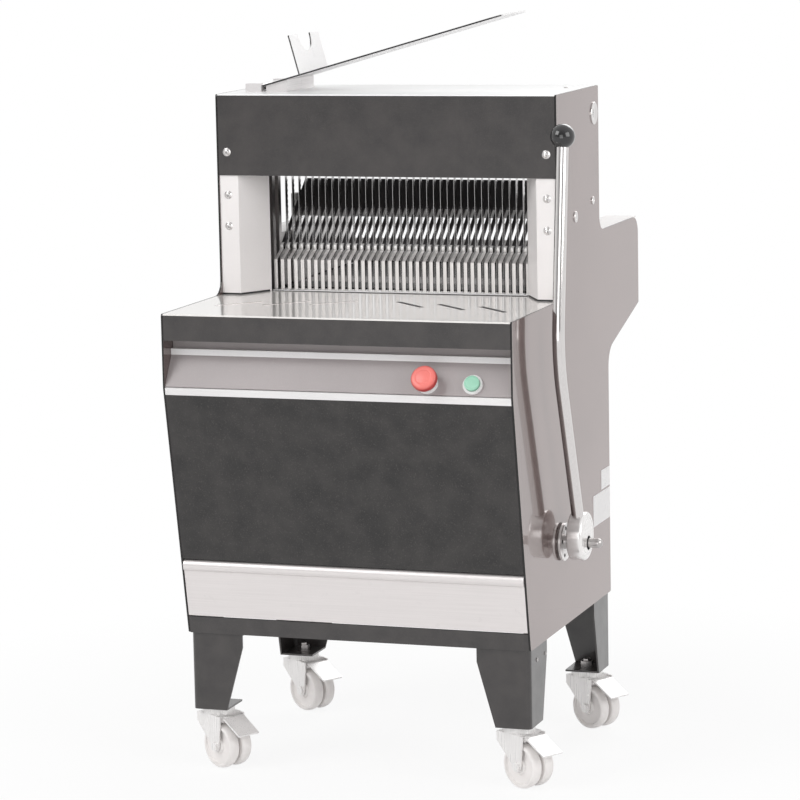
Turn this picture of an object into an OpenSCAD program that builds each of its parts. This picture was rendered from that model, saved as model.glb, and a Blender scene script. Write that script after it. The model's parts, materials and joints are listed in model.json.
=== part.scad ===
/* [Casing] */
// Outer width across the two side panels
casing_w = 590; // [580:1:640]
// Thickness of each side panel
panel_t = 3; // [2:0.5:4]
// Thickness of covers, trays and the legs
sheet_t = 2; // [1.5:0.5:3]
// Height of the head's top above the table
head_h = 335; // [320:1:410]
// Depth of the head from front to rear
head_d = 250; // [240:1:290]
// Height of the dark band round the head
band_h = 135; // [115:1:150]
// Height of the loading wings' top edge above the table
wing_h = 90; // [75:1:120]
// Distance from the head's front to the wings' rear edge
wing_back = 500; // [495:1:560]
// Distance from the table down to the wings' lower rear corner
wing_drop = 62; // [58:1:75]
// Distance from the head's front to the lower back
back_y = 298; // [290:1:330]
// Distance from the table down to the slope under the wings
back_drop = 120; // [110:1:140]
// Distance that the table reaches in front of the head
table_reach = 260; // [250:1:300]
// Distance from the table down to the front knee
knee_drop = 120; // [115:1:130]
// Distance that the foot of the front slope reaches in front of the head
base_reach = 182; // [176:1:200]
// Radius of the inner corners beside the head
inner_r = 25; // [5:1:40]
// Radius of the wings' upper rear corners
wing_r = 30; // [10:1:50]
// Radius of the front knee and the corner under the wings
knee_r = 40; // [10:1:60]
// Radius of the other corners of the side panels
corner_r = 4; // [1:0.5:10]

/* [Slicing opening] */
// Width of each pillar's front face
pillar_face = 33; // [25:1:35]
// Distance that each pillar's slanted face runs inwards
pillar_in = 33; // [25:1:34]
// Distance that each pillar's slanted face runs back
pillar_back = 58; // [45:1:62]
// Distance from the head's front to the table's rear edge
table_back = 103; // [95:1:105]
// Length of each slanted crumb slit in the table
slit_len = 85; // [60:1:100]
// Width of each crumb slit
slit_w = 2.5; // [1.5:0.5:5]
// Number of crumb slits in each half of the table
slit_count = 3; // [1:1:3]

/* [Blades] */
// Distance from blade to blade
blade_pitch = 12; // [10:0.5:15]
// Thickness of a blade
blade_t = 0.6; // [0.4:0.1:1]
// Depth of a blade from front to rear
blade_d = 12; // [8:1:13]
// Distance from the head's front to the blades' front edge
blade_y = 109; // [107:1:112]
// Depth of a frame rail from front to rear
rail_d = 12; // [8:1:13]
// Height of a frame rail
rail_h = 24; // [16:1:28]
// Half stroke of the blade frames, the crank's throw
throw = 20; // [12:1:22]
// Width of a frame's upright bar
stile_w = 12; // [8:1:13]

/* [Pusher] */
// Travel of the pusher from its front end
stroke = 280; // [200:1:285]
// Width of a pusher finger
finger_w = 6.5; // [5:0.5:8]
// Distance from the head's front to the fingers' front face
finger_y = 71; // [65:1:80]
// Height of the fingers' upright part
finger_h = 50; // [40:1:55]
// Slope of the pusher plate above the horizontal
plate_slope = 39; // [35:1:42]
// Thickness of the pusher plate
plate_t = 3; // [2:0.5:4]
// Width of the slots between the pusher plate's teeth
slot_w = 6; // [4:0.5:6.5]
// Distance from the head's front to the inner ends of those slots
slot_back = 181; // [165:1:182]
// Distance from the head's front to the pusher plate's rear edge
plate_back = 234; // [220:1:242]

/* [Hand lever] */
// Distance from the table down to the lever shaft
shaft_drop = 396; // [391:1:406]
// Radius of the lever shaft
shaft_r = 12; // [9:0.5:13]
// Length of the swing arms from the shaft to their pins
arm_len = 351; // [341:1:356]
// Radius of the lever rod
lever_r = 10; // [7:0.5:11]
// Radius of the ball knob
knob_r = 20; // [16:1:25]
// Radius of the lever hub
hub_r = 40; // [34:1:48]
// Distance from the shaft to the hub's middle, towards the rod
hub_shift = 13; // [0:1:16]
// Thickness of the lever hub
hub_t = 26; // [22:1:32]
// Distance from the side panel to the hub
hub_gap = 20; // [14:1:26]
// Distance that the lever's bend lies in front of the shaft
bend_reach = 122; // [100:1:140]
// Height of the lever's bend above the shaft
bend_rise = 322; // [296:1:346]
// Distance that the knob lies in front of the shaft
knob_reach = 79; // [60:1:110]
// Height of the knob above the shaft
knob_rise = 671; // [626:1:706]
// Radius of the lever's bend
bend_r = 240; // [150:1:300]

/* [Controls] */
// Distance that the control panel's top edge is set back
panel_in = 30; // [24:1:36]
// Height of the control panel's slanted face
slant_h = 48; // [44:1:52]
// Distance from the middle to the stop button
stop_x = 152; // [100:1:160]
// Radius of the stop button's cap
stop_r = 21; // [16:0.5:22]
// Travel of the stop button
stop_travel = 5; // [3:0.5:6]
// Distance from the middle to the start button
start_x = 227; // [210:1:235]
// Radius of the start button's ring
start_r = 16; // [13:0.5:18]
// Travel of the start button
start_travel = 3; // [2:0.5:3.5]

/* [Drawer and base] */
// Height of the drawer's front along the slope
drawer_h = 75; // [70:1:76]
// Radius of the drawer's rolled lip
lip_r = 10; // [6:0.5:10]
// Height of the base rail along the slope
base_h = 29; // [24:1:29]
// Distance from the head's front to the drawer's rear wall
drawer_back = 240; // [180:1:260]
// Height of the legs
leg_h = 130; // [110:1:135]
// Width of a leg's front face at its top
leg_top_w = 90; // [75:1:100]
// Width of a leg's front face at its foot
leg_foot_w = 60; // [58:1:70]
// Depth of a leg's side face at its top
leg_top_d = 95; // [80:1:105]
// Depth of a leg's side face at its foot
leg_foot_d = 68; // [60:1:76]

/* [Casters] */
// Height of a caster, from the floor to the leg
caster_h = 100; // [98:1:115]
// Radius of the caster wheels
wheel_r = 37.5; // [34:0.5:38]
// Width of each of a caster's two wheels
wheel_w = 20; // [16:0.5:21]
// Distance from a caster's stem to its axle
trail = 22; // [16:1:24]
// Angle that the casters are turned to
caster_turn = -30; // [-180:1:180]
// Radius of a caster's stem
stem_r = 6; // [5:0.5:7]
// Radius of a caster's axle
axle_r = 4; // [3:0.5:5]
// Length of a brake pedal
pedal_len = 56; // [48:1:60]

/* [Shovel] */
// Length of the bagging shovel's plate
shovel_len = 448; // [400:1:490]
// Depth of the bagging shovel from front to rear
shovel_d = 140; // [120:1:150]
// Thickness of the shovel's plate
shovel_t = 2.5; // [2:0.5:4]
// Slope of the shovel above the horizontal
shovel_slope = 15.4; // [12:0.2:18]
// Distance from the head's front to the shovel
shovel_y = 55; // [45:1:65]
// Radius of the shovel's tip corners
shovel_tip_r = 20; // [10:1:58]
// Height of the shovel's notched stop
stop_plate_h = 68; // [50:1:72]

/* [Drive] */
// Radius of the crankshaft
crank_r = 10; // [8:0.5:11]
// Radius of the crank pins
pin_r = 8; // [6:0.5:9]
// Outer radius of the crank pulley
big_r = 48; // [44:1:48]
// Outer radius of the motor pulley
small_r = 24; // [20:1:26]
// Radius of the motor's body
motor_r = 55; // [45:1:56]
// Length of the motor's body
motor_len = 165; // [140:1:168]
// Distance from the motor's axis up to the crankshaft
motor_rise = 159; // [150:1:175]
// Distance from the head's front to the motor's axis
motor_y = 90; // [88:1:95]

/* [Hidden] */
$fn = 48;
// Colours of the finishes
panel_grey = [0.68, 0.65, 0.64];
charcoal = [0.29, 0.28, 0.28];
light_sheet = [0.88, 0.87, 0.87];
trim_white = [0.95, 0.95, 0.95];
steel = [0.75, 0.75, 0.76];
nylon = [0.90, 0.88, 0.88];
black = [0.10, 0.10, 0.11];
// Overrun of every cut
overrun = 1;
// Gap between covers that lie side by side
cover_gap = 0.3;
// Clearance of flat sliding faces
slide_gap = 0.4;
// Radial clearance of shafts in their bores
bore_gap = 0.05;
// Number of steps in a rounded corner of an outline
arc_steps = 8;

// Half widths of the casing, outside and inside the panels
half_w = casing_w / 2;
inner_x = half_w - panel_t;
cover_x = inner_x - cover_gap;

// Heights from the floor up: casters, legs, drawer, motor, crankshaft, blade frames, table
leg_z = caster_h;
skirt_z = leg_z + leg_h;
base_rail_h = 32;
drawer_z = skirt_z + base_rail_h;
tray_wall = 56;
shelf_gap = 26;
shelf_t = 6;
shelf_drop = 10;
shelf_z = drawer_z + tray_wall + shelf_gap + shelf_t;
motor_z = shelf_z + shelf_drop + motor_r;
crank_z = motor_z + motor_rise;
yoke_gap = 3;
yoke_wall = 10;
yoke_half_h = pin_r + 2 * throw + yoke_gap;
yoke_rise = yoke_half_h + yoke_wall;
frame_low = crank_z + yoke_rise + yoke_gap + 2 * throw + rail_h / 2;
rail_drop = 80;
table_z = frame_low + rail_drop;
knee_z = table_z - knee_drop;
back_top = table_z - back_drop;
wing_low = table_z - wing_drop;
shaft_z = table_z - shaft_drop;
head_top = table_z + head_h;
wing_top = table_z + wing_h;
band_z = head_top - band_h;
open_x = inner_x - pillar_face - pillar_in;

// Slope of the front from the knee to the base
slope = atan2(table_reach - base_reach, knee_z - skirt_z);
slope_len = norm([table_reach - base_reach, knee_z - skirt_z]);
trim_h = 12;
trim_t = 6;
front_top = -trim_h - cover_gap;
drawer_low = -slope_len + base_h + sheet_t;
drawer_top = drawer_low + drawer_h;
lip_neck = 2;
lip_out = 4;
lip_mid = drawer_top + lip_r + lip_neck;
front_gap = 3;
front_low = lip_mid + lip_r + front_gap;

// Outline of a side panel, in distance from the head's front and height
side_points = [[-base_reach, skirt_z], [back_y, skirt_z], [back_y, back_top], [wing_back, wing_low],
    [wing_back, wing_top], [head_d, wing_top], [head_d, head_top], [0, head_top], [0, table_z],
    [-table_reach, table_z], [-table_reach, knee_z]];
side_radii = [corner_r, corner_r, knee_r, corner_r, wing_r, inner_r, corner_r, corner_r, inner_r,
    corner_r, knee_r];
// Plugs in the right side panel: distance behind the head's front, depth below its top, radius
plugs = [[221, 45, 17], [209, 190, 6], [104, 207, 8.5]];
plug_head_share = 1.12;
plug_t = 2;

// Screws of the band and the pillars
screw_r = 2.5;
screw_head_r = 7;
screw_head_t = 3;
screw_crown_share = 0.6;
screw_len = 8;
band_screw_in = 15;
band_screw_up = 39;
pillar_screw_down = [33, 85];
pillar_set = 2;
band_lip = 22;
// Plan of the right pillar, from the side panel inwards
pillar_path = [[cover_x, pillar_set], [inner_x - pillar_face, pillar_set],
    [open_x, pillar_back + pillar_set]];

// Table and fascia
table_lip = 12;
table_edge = 2.5;
fascia_h = 40.5;
fascia_lip = 8;
slit_first = [36, -46];
slit_shift = [76, -18];
slit_turn = -45;

// Control panel
panel_foot = [-table_reach + sheet_t / 2, knee_z + sheet_t];
panel_head = panel_foot + [panel_in, slant_h];
panel_tilt = atan2(panel_in, slant_h);
panel_mid = (panel_foot + panel_head) / 2;
button_drop = 10;
ledge = 8;
ledge_trim_h = 10;
collar_r = 17;
collar_t = 8;
stem_hole_r = 11;
stop_stem_r = 8;
stop_len = 40;
stop_cap_t = 14;
stop_play = 3;
stop_cap_lift = stop_travel + stop_play;
stop_spigot_r = 5;
stop_crown_share = 0.72;
start_ring_t = 5;
start_cap_r = 12.5;
start_cap_t = 7;
start_stem_r = 8;
start_len = 26;
barrel_len = 24;

// Blade frames
rail_below_top = 85;
frame_up = head_top - rail_below_top;
blade_edge = 8;
blade_half = floor((open_x - blade_edge) / blade_pitch);
blade_count = 2 * blade_half + 1;
blade_tail = 8;
lug_w = 6;
lug_h = 16;
slit_gap = 0.05;
stile_gap = 8;
stile_in = open_x + stile_gap;
stile_out = stile_in + stile_w;
front_rail_y = blade_y - rail_d - sheet_t;
rear_rail_y = blade_y + blade_d + sheet_t;
crank_y = blade_y + blade_d / 2;
yoke_x = 40;
yoke_t = 12;
yoke_half_d = pin_r + throw + yoke_gap;
web_rim = 4;
web_r = pin_r + throw + web_rim;
web_t = 8;
web_gap = 2;
beam_y = crank_y + yoke_half_d + yoke_wall + 2 * yoke_gap + sheet_t;
beam_d = 30;
beam_h = 50;
beam_below_top = 95;
beam_up = head_top - beam_below_top;
guide_w = 25;
guide_wall = 6;
guide_front = front_rail_y - guide_wall;
bearing_w = 20;
bearing_x = [-120, 130];
bearing_wall = 12;

// Drive
pulley_x = 185;
pulley_w = 24;
groove_depth = 9;
belt_t = 8;
belt_w = 10;
groove_w = belt_w + 2 * slide_gap;
motor_x = -20;
motor_shaft_r = 7;
motor_bore = 40;
shaft_start = motor_x + motor_len - motor_bore;
motor_foot_w = 16;
motor_foot_in = 34;
shelf_half_d = 60;
fan_share = 0.2;
rib_count = 12;
rib_t = 3;

// Pusher
finger_foot_gap = 2.5;
finger_t = 2.5;
finger_lap = 30;
leaf_run = 34;
leaf_rise = 16;
finger_foot = table_z + finger_foot_gap;
knuckle = [finger_y + leaf_run, finger_foot + finger_h + leaf_rise];
knuckle_r = 4;
plate_dir = [cos(plate_slope), sin(plate_slope)];
plate_end = knuckle + plate_dir * (plate_back - knuckle[0]) / cos(plate_slope);
tooth_start = knuckle + plate_dir * (knuckle_r + cover_gap);
tooth_root = 4;
tooth_zone = slot_back + tooth_root;
comb_half = blade_half * blade_pitch + blade_pitch / 2;
upright_w = 8;
upright_gap = 2;
upright_in = open_x + upright_gap;
upright_out = upright_in + upright_w;
upright_set = 4;
upright_y = tooth_zone + upright_set;
upright_d = 20;
beam_drop = 22;
arm_t = 8;
arm_w = 32;
arm_set = 22;
arm_out = inner_x - arm_set;
arm_in = arm_out - arm_t;
arm_gap = 3;
side_in = arm_out + arm_gap;
side_t = 6;
side_out = side_in + side_t;
rail_gap = 4;
rail_in = side_out + rail_gap;
swing = asin(stroke / 2 / arm_len);
arm_low = shaft_z + arm_len * cos(swing);
arm_high = shaft_z + arm_len;
arm_pin_r = 8;
arm_pin_play = 2.4;
side_wall = 12;
side_low = arm_low - arm_pin_r - side_wall;
side_high = arm_high + arm_pin_r + side_wall;
guide_rail_h = 14;
guide_rail_z = arm_high;
shoe_len = 30;
shoe_h = 7;
shoe_low = guide_rail_z - guide_rail_h / 2 - slide_gap - shoe_h;
foot_h = 10;
upright_low = side_high - foot_h;

// Trough behind the blades
trough_gap = 6;
trough_front = blade_y + blade_d + trough_gap;
trough_lip = 12;
trough_wall = 43;
liner_gap = 4;
liner_set = 7;
liner_x = upright_out + liner_gap;
liner_front = rear_rail_y + rail_d + liner_set;
liner_top = wing_top - sheet_t;
trough_end = wing_back - sheet_t - cover_gap;

// Lever
flange_r = 31.5;
flange_t = 8;
flange_neck_r = 20;
flange_neck = 3;
flange_edge = 1.5;
hub_edge = 2;
lever_x = half_w + hub_gap + hub_t / 2;
dome_r = 8;
dome_len = 16;
dome_end = half_w + hub_gap + hub_t + dome_len + dome_r;
arm_collar = 12;
arm_hub_r = 25;
socket_in = 20;
spigot_r = 6;
spigot_len = 14;
low_turn = atan2(bend_reach, bend_rise);
high_turn = atan2(bend_reach - knob_reach, knob_rise - bend_rise);
bend_turn = low_turn + high_turn;
bend_steps = 12;
rod_sides = 40;
bend_cut = bend_r * tan(bend_turn / 2);
low_len = norm([bend_reach, bend_rise]) - bend_cut;
seat_deep = sqrt(knob_r * knob_r - lever_r * lever_r);
high_len = norm([bend_reach - knob_reach, knob_rise - bend_rise]) - bend_cut - seat_deep;

// Base, drawer and legs
base_rail_w = 10;
corner_plate_t = 3;
leg_t = 3;
leg_r = 8;
leg_straight = 23;
leg_set = 4;
leg_front = base_reach - leg_set;
leg_back = back_y - sheet_t;
runner_w = 18;
runner_t = 4;
runner_out = inner_x - base_rail_w + overrun;
tray_gap = 5;
tray_x = inner_x - base_rail_w - tray_gap;
runner_z = drawer_z - cover_gap - runner_t;
tray_set = 8;
tray_front = base_reach - tray_set;

// Casters
caster_set = 31;
caster_x = inner_x - caster_set;
caster_front = leg_foot_d / 2 - leg_front;
caster_back = leg_back - leg_foot_d / 2;
caster_places = [[-caster_x, caster_front], [caster_x, caster_front], [-caster_x, caster_back],
    [caster_x, caster_back]];
crown_r = 27;
crown_t = 11;
crown_top = leg_z - cover_gap;
crown_low = crown_top - crown_t;
fork_t = 2.5;
fork_top_t = 4;
wheel_gap = 3;
fork_gap = 1;
fork_in = wheel_gap + wheel_w + fork_gap;
fork_out = fork_in + fork_t;
fork_half = 25;
fork_low = crown_low - fork_top_t;
fork_drop = 10;
axle_boss_r = 9;
axle_head_r = 7;
axle_head_t = 4;
wheel_round = 4;
wheel_dish = 4;
wheel_rim = 8;
wheel_boss_r = 11;
nut_r = 11;
nut_t = 10;
stem_head_r = 10;
stem_head_t = 6;
stem_over = 14;
hinge_r = 2.5;
hinge_run = 30;
hinge_drop = 3;
hinge_at = [hinge_run, fork_low - hinge_drop];
hinge_boss_r = 5;
pedal_half = 21;
pedal_t = 3;
pedal_slope = 30;
pedal_flat = 10;

// Shovel
shovel_x = -240;
hinge_pin_r = 3;
barrel_r = 6;
shovel_pin = [shovel_x, head_top + barrel_r + sheet_t];
lug_d = 10;
bracket_out = 22;
// Full width of the plate begins clear of the turn round the lugs' corners
shovel_root = norm([barrel_r, barrel_r]) + cover_gap;
wedge_from = 13;
wedge_len = 37;
wedge_inset = 5;
stop_from = 76;
notch_r = 30;

// Middle of the whole part's footprint
stop_high = collar_t + stop_cap_lift + stop_cap_t;
front_most = panel_mid[0] - stop_high * cos(panel_tilt)
    - (button_drop + stop_r * stop_crown_share) * sin(panel_tilt);
mid_x = (dome_end - half_w) / 2;
mid_y = (wing_back + front_most) / 2;

// Left-hand normal of the step from a to b
function left_of(a, b) = let (d = (b - a) / norm(b - a)) [-d[1], d[0]];
// Offset direction of a bent strip at point i of its path
function bend_at(p, i) =
    let (before = i == 0 ? left_of(p[0], p[1]) : left_of(p[i - 1], p[i]),
         after = i == len(p) - 1 ? before : left_of(p[i], p[i + 1]))
    (before + after) / (1 + before * after);
// Outline of a strip that follows a path, t thick on its left side
function strip(p, t) = concat(p, [for (i = [len(p) - 1 : -1 : 0]) p[i] + t * bend_at(p, i)]);
// Arc that rounds the corner at b, between a and c
function rounded(a, b, c, r) =
    let (u = (a - b) / norm(a - b),
         v = (c - b) / norm(c - b),
         half = acos(u * v) / 2,
         mid = b + (u + v) / norm(u + v) * r / sin(half),
         from = b + u * r / tan(half) - mid,
         to = b + v * r / tan(half) - mid,
         start = atan2(from[1], from[0]),
         turn = atan2(from[0] * to[1] - from[1] * to[0], from * to))
    [for (i = [0 : arc_steps]) let (a = start + turn * i / arc_steps) mid + r * [cos(a), sin(a)]];
// Outline with each corner rounded by its radius
function outline(p, radii) =
    let (n = len(p))
    [for (i = [0 : n - 1]) each rounded(p[(i + n - 1) % n], p[i], p[(i + 1) % n], radii[i])];
// Place of blade i across the machine
function blade_x(i) = (i - blade_half) * blade_pitch;

// Puts the middle of the footprint over the origin
module set_down() {
    translate([-mid_x, -mid_y, 0]) children();
}
module both_sides() {
    children();
    mirror([1, 0, 0]) children();
}
// Box between two opposite corners
module box(low, high) {
    translate(low) cube(high - low);
}
// Plate whose outline is given in distance back and height
module plate_x(x, t, points) {
    translate([x, 0, 0]) rotate([90, 0, 90]) linear_extrude(t) polygon(points);
}
// Bent sheet across the machine whose profile is a strip
module bent_sheet(half, path, t) {
    plate_x(-half, 2 * half, strip(path, t));
}
// Plate whose outline is given in distance across and height
module plate_y(y, t, points) {
    translate([0, y + t, 0]) rotate([90, 0, 0]) linear_extrude(t) polygon(points);
}
module rod_x(from, to, y, z, r) {
    translate([from, y, z]) rotate([0, 90, 0]) cylinder(h = to - from, r = r);
}
module rod_y(from, to, x, z, r) {
    translate([x, from, z]) rotate([-90, 0, 0]) cylinder(h = to - from, r = r);
}
// Frame of the sloping front: origin at the knee, z up the slope, y into the machine
module on_slope() {
    translate([0, -table_reach, knee_z]) rotate([slope, 0, 0]) children();
}
// Frame of a button: origin on the control panel's slanted face, below its middle, z out of the panel
module on_panel(x) {
    translate([x, panel_mid[0], panel_mid[1]]) rotate([90 - panel_tilt, 0, 0])
        translate([0, -button_drop, 0]) children();
}

module side_sheet(x) {
    difference() {
        plate_x(x, panel_t, outline(side_points, side_radii));
        rod_x(x - overrun, x + panel_t + overrun, 0, shaft_z, shaft_r + slide_gap);
    }
}
module side_panel_left() {
    color(panel_grey) set_down() side_sheet(-half_w);
}
module side_panel_right() {
    color(panel_grey) set_down() difference() {
        side_sheet(inner_x);
        for (p = plugs)
            rod_x(inner_x - overrun, half_w + overrun, p[0], head_top - p[1], p[2] + bore_gap);
    }
}
module screw_holes() {
    for (x = [-1, 1] * (inner_x - band_screw_in)) {
        rod_y(-overrun, sheet_t + overrun, x, band_z + band_screw_up, screw_r + bore_gap);
        for (down = pillar_screw_down)
            rod_y(-overrun, pillar_set + sheet_t + overrun, x, band_z - down, screw_r + bore_gap);
    }
}
module head_bands() {
    band_top = head_top - sheet_t - cover_gap;
    color(charcoal) set_down() difference() {
        union() {
            bent_sheet(cover_x, [[band_lip, band_z], [0, band_z], [0, band_top]], -sheet_t);
            bent_sheet(cover_x, [[head_d - band_lip, band_z], [head_d, band_z], [head_d, band_top]], sheet_t);
        }
        screw_holes();
    }
}
module head_top_cover() {
    color(light_sheet) set_down()
        box([-cover_x, 0, head_top - sheet_t], [cover_x, head_d, head_top]);
}
module pillar_covers() {
    low = table_z - table_lip;
    color(light_sheet) set_down() difference() {
        both_sides() translate([0, 0, low])
            linear_extrude(band_z - cover_gap - low) polygon(strip(pillar_path, -sheet_t));
        screw_holes();
    }
}
module out_table() {
    path = [[table_back, table_z - table_lip], [table_back, table_z], [-table_reach, table_z],
        [-table_reach, table_z - table_edge]];
    notch = concat([[half_w, pillar_set - cover_gap]],
        [for (i = [1, 2]) pillar_path[i] + cover_gap * bend_at(pillar_path, i)],
        [[open_x - cover_gap, table_back + overrun], [half_w, table_back + overrun]]);
    color(light_sheet) set_down() difference() {
        bent_sheet(cover_x, path, sheet_t);
        both_sides() translate([0, 0, table_z - table_lip - overrun])
            linear_extrude(table_lip + 2 * overrun) polygon(notch);
        both_sides() for (i = [0 : slit_count - 1])
            translate(slit_first + i * slit_shift) rotate([0, 0, slit_turn])
                translate([0, -slit_w / 2, table_z - sheet_t - overrun])
                    cube([slit_len, slit_w, sheet_t + 2 * overrun]);
    }
}
module table_fascia() {
    high = table_z - table_edge - cover_gap;
    low = high - fascia_h;
    path = [[fascia_lip - table_reach, low], [-table_reach, low], [-table_reach, high]];
    color(charcoal) set_down() bent_sheet(cover_x, path, -sheet_t);
}
module trim_strips() {
    color(trim_white) set_down() {
        box([-cover_x, panel_head[0] - overrun, panel_head[1]],
            [cover_x, panel_head[0] + ledge, panel_head[1] + ledge_trim_h]);
        on_slope() box([-cover_x, 0, -trim_h], [cover_x, trim_t, 0]);
    }
}
module control_panel() {
    back = panel_head[0] + ledge;
    path = [panel_foot, panel_head, [back, panel_head[1]], [back, table_z - sheet_t]];
    color(panel_grey) set_down() difference() {
        bent_sheet(cover_x, path, -sheet_t);
        for (x = [stop_x, start_x])
            on_panel(x) translate([0, 0, -2 * sheet_t]) cylinder(h = 3 * sheet_t, r = stem_hole_r + bore_gap);
    }
}
module lower_front_panel() {
    color(charcoal) set_down() on_slope() {
        box([-cover_x, 0, front_low], [cover_x, sheet_t, front_top]);
        for (x = [-cover_x, cover_x - sheet_t])
            box([x, 0, front_low], [x + sheet_t, band_lip, front_top]);
    }
}
module back_cover() {
    path = [[back_y, skirt_z], [back_y, back_top], [trough_end, wing_low],
        [trough_end, table_z - 2 * sheet_t - cover_gap]];
    color(charcoal) set_down() bent_sheet(cover_x, path, sheet_t);
}
module trough_floor() {
    path = [[trough_front, table_z - trough_lip], [trough_front, table_z], [trough_end, table_z],
        [trough_end, table_z + trough_wall]];
    slot_end = upright_y + upright_d + stroke + sheet_t;
    low = table_z - trough_lip - overrun;
    color(light_sheet) set_down() difference() {
        bent_sheet(cover_x, path, -sheet_t);
        both_sides() {
            box([open_x, trough_front - overrun, low], [half_w, liner_front, table_z + overrun]);
            box([upright_in - slide_gap, upright_y - sheet_t, low],
                [upright_out + slide_gap, slot_end, table_z + overrun]);
        }
    }
}
module trough_liners() {
    path = [[liner_x, table_z], [liner_x, liner_top], [cover_x, liner_top]];
    color(light_sheet) set_down() both_sides()
        plate_y(liner_front, trough_end - liner_front, strip(path, sheet_t));
}
module base_frame() {
    front = base_reach - sheet_t;
    rail_top = skirt_z + base_rail_h;
    color(charcoal) set_down() {
        on_slope() box([-cover_x, 0, -slope_len], [cover_x, sheet_t + overrun, base_h - slope_len]);
        both_sides() {
            box([inner_x - base_rail_w, -front, skirt_z], [inner_x, leg_back, rail_top]);
            for (y = [-front, leg_back - leg_top_d])
                box([inner_x - leg_top_w, y, skirt_z], [inner_x, y + leg_top_d, skirt_z + corner_plate_t]);
        }
        box([-inner_x, leg_back - base_rail_w, skirt_z], [inner_x, leg_back, rail_top]);
        both_sides() {
            box([runner_out - runner_w, -tray_front, runner_z],
                [runner_out, leg_back - overrun, runner_z + runner_t]);
            box([runner_out - sheet_t, -tray_front, runner_z],
                [runner_out, leg_back - overrun, runner_z + runner_w]);
        }
    }
}
module crumb_drawer() {
    front_x = cover_x - cover_gap;
    web_z = drawer_z + lip_r;
    web_y = base_reach + (web_z - skirt_z) * tan(slope) - sheet_t / 2;
    color(light_sheet) set_down() {
        on_slope() {
            box([-front_x, 0, drawer_low], [front_x, sheet_t, lip_mid]);
            rod_x(-front_x, front_x, lip_r - lip_out, lip_mid, lip_r);
        }
        difference() {
            box([-tray_x, -tray_front, drawer_z], [tray_x, drawer_back, drawer_z + tray_wall]);
            box([sheet_t - tray_x, sheet_t - tray_front, drawer_z + sheet_t],
                [tray_x - sheet_t, drawer_back - sheet_t, drawer_z + tray_wall + overrun]);
        }
        box([-tray_x, -web_y, web_z], [tray_x, overrun - tray_front, web_z + sheet_t]);
    }
}
// Leg at the front right corner: folded sheet with a foot plate and a top plate
module leg_sheet() {
    bend_z = skirt_z - leg_straight;
    face = [[inner_x - leg_r, leg_z], [inner_x - leg_foot_w, leg_z], [inner_x - leg_top_w, bend_z],
        [inner_x - leg_top_w, skirt_z], [inner_x - leg_r, skirt_z]];
    flank = [[leg_r - leg_front, leg_z], [leg_foot_d - leg_front, leg_z], [leg_top_d - leg_front, bend_z],
        [leg_top_d - leg_front, skirt_z], [leg_r - leg_front, skirt_z]];
    foot_high = [inner_x - leg_t, leg_foot_d - leg_front, leg_z + leg_t];
    top_high = [inner_x - leg_t, leg_top_d - leg_front, skirt_z];
    difference() {
        union() {
            plate_y(-leg_front, leg_t, face);
            plate_x(inner_x - leg_t, leg_t, flank);
            translate([inner_x - leg_r, leg_r - leg_front, leg_z])
                rotate([0, 0, -90]) rotate_extrude(angle = 90)
                    translate([leg_r - leg_t, 0]) square([leg_t, leg_h]);
            intersection() {
                union() {
                    box([inner_x - leg_foot_w, -leg_front, leg_z], foot_high);
                    box([inner_x - leg_top_w, -leg_front, skirt_z - leg_t], top_high);
                }
                translate([inner_x - leg_r, leg_r - leg_front, leg_z]) union() {
                    cylinder(h = leg_h, r = leg_r - leg_t / 2);
                    translate([-leg_top_w, -leg_r, 0]) cube([leg_top_w, leg_top_d, leg_h]);
                    translate([-leg_top_w, 0, 0]) cube([leg_top_w + leg_r, leg_top_d, leg_h]);
                }
            }
        }
        translate([caster_x, caster_front, leg_z - overrun])
            cylinder(h = leg_t + 2 * overrun, r = stem_r + bore_gap);
    }
}
module front_legs() {
    color(charcoal) set_down() both_sides() leg_sheet();
}
module rear_legs() {
    color(charcoal) set_down() both_sides()
        translate([0, leg_back - leg_front, 0]) mirror([0, 1, 0]) leg_sheet();
}

module cross_beams() {
    color(charcoal) set_down() for (z = [crank_z, beam_up])
        box([-inner_x, beam_y, z - beam_h / 2], [inner_x, beam_y + beam_d, z + beam_h / 2]);
    color(charcoal) set_down()
        box([-inner_x, motor_y - shelf_half_d, shelf_z - shelf_t],
            [inner_x, motor_y + shelf_half_d, shelf_z]);
}
module frame_guides() {
    color(nylon) set_down() both_sides() for (z = [crank_z, beam_up]) difference() {
        box([stile_in + slide_gap, guide_front, z - beam_h / 2],
            [stile_in + guide_w, beam_y, z + beam_h / 2]);
        for (y = [front_rail_y, rear_rail_y])
            box([stile_in - overrun, y - slide_gap, z - beam_h / 2 - overrun],
                [stile_out + slide_gap, y + rail_d + slide_gap, z + beam_h / 2 + overrun]);
    }
}
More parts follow.
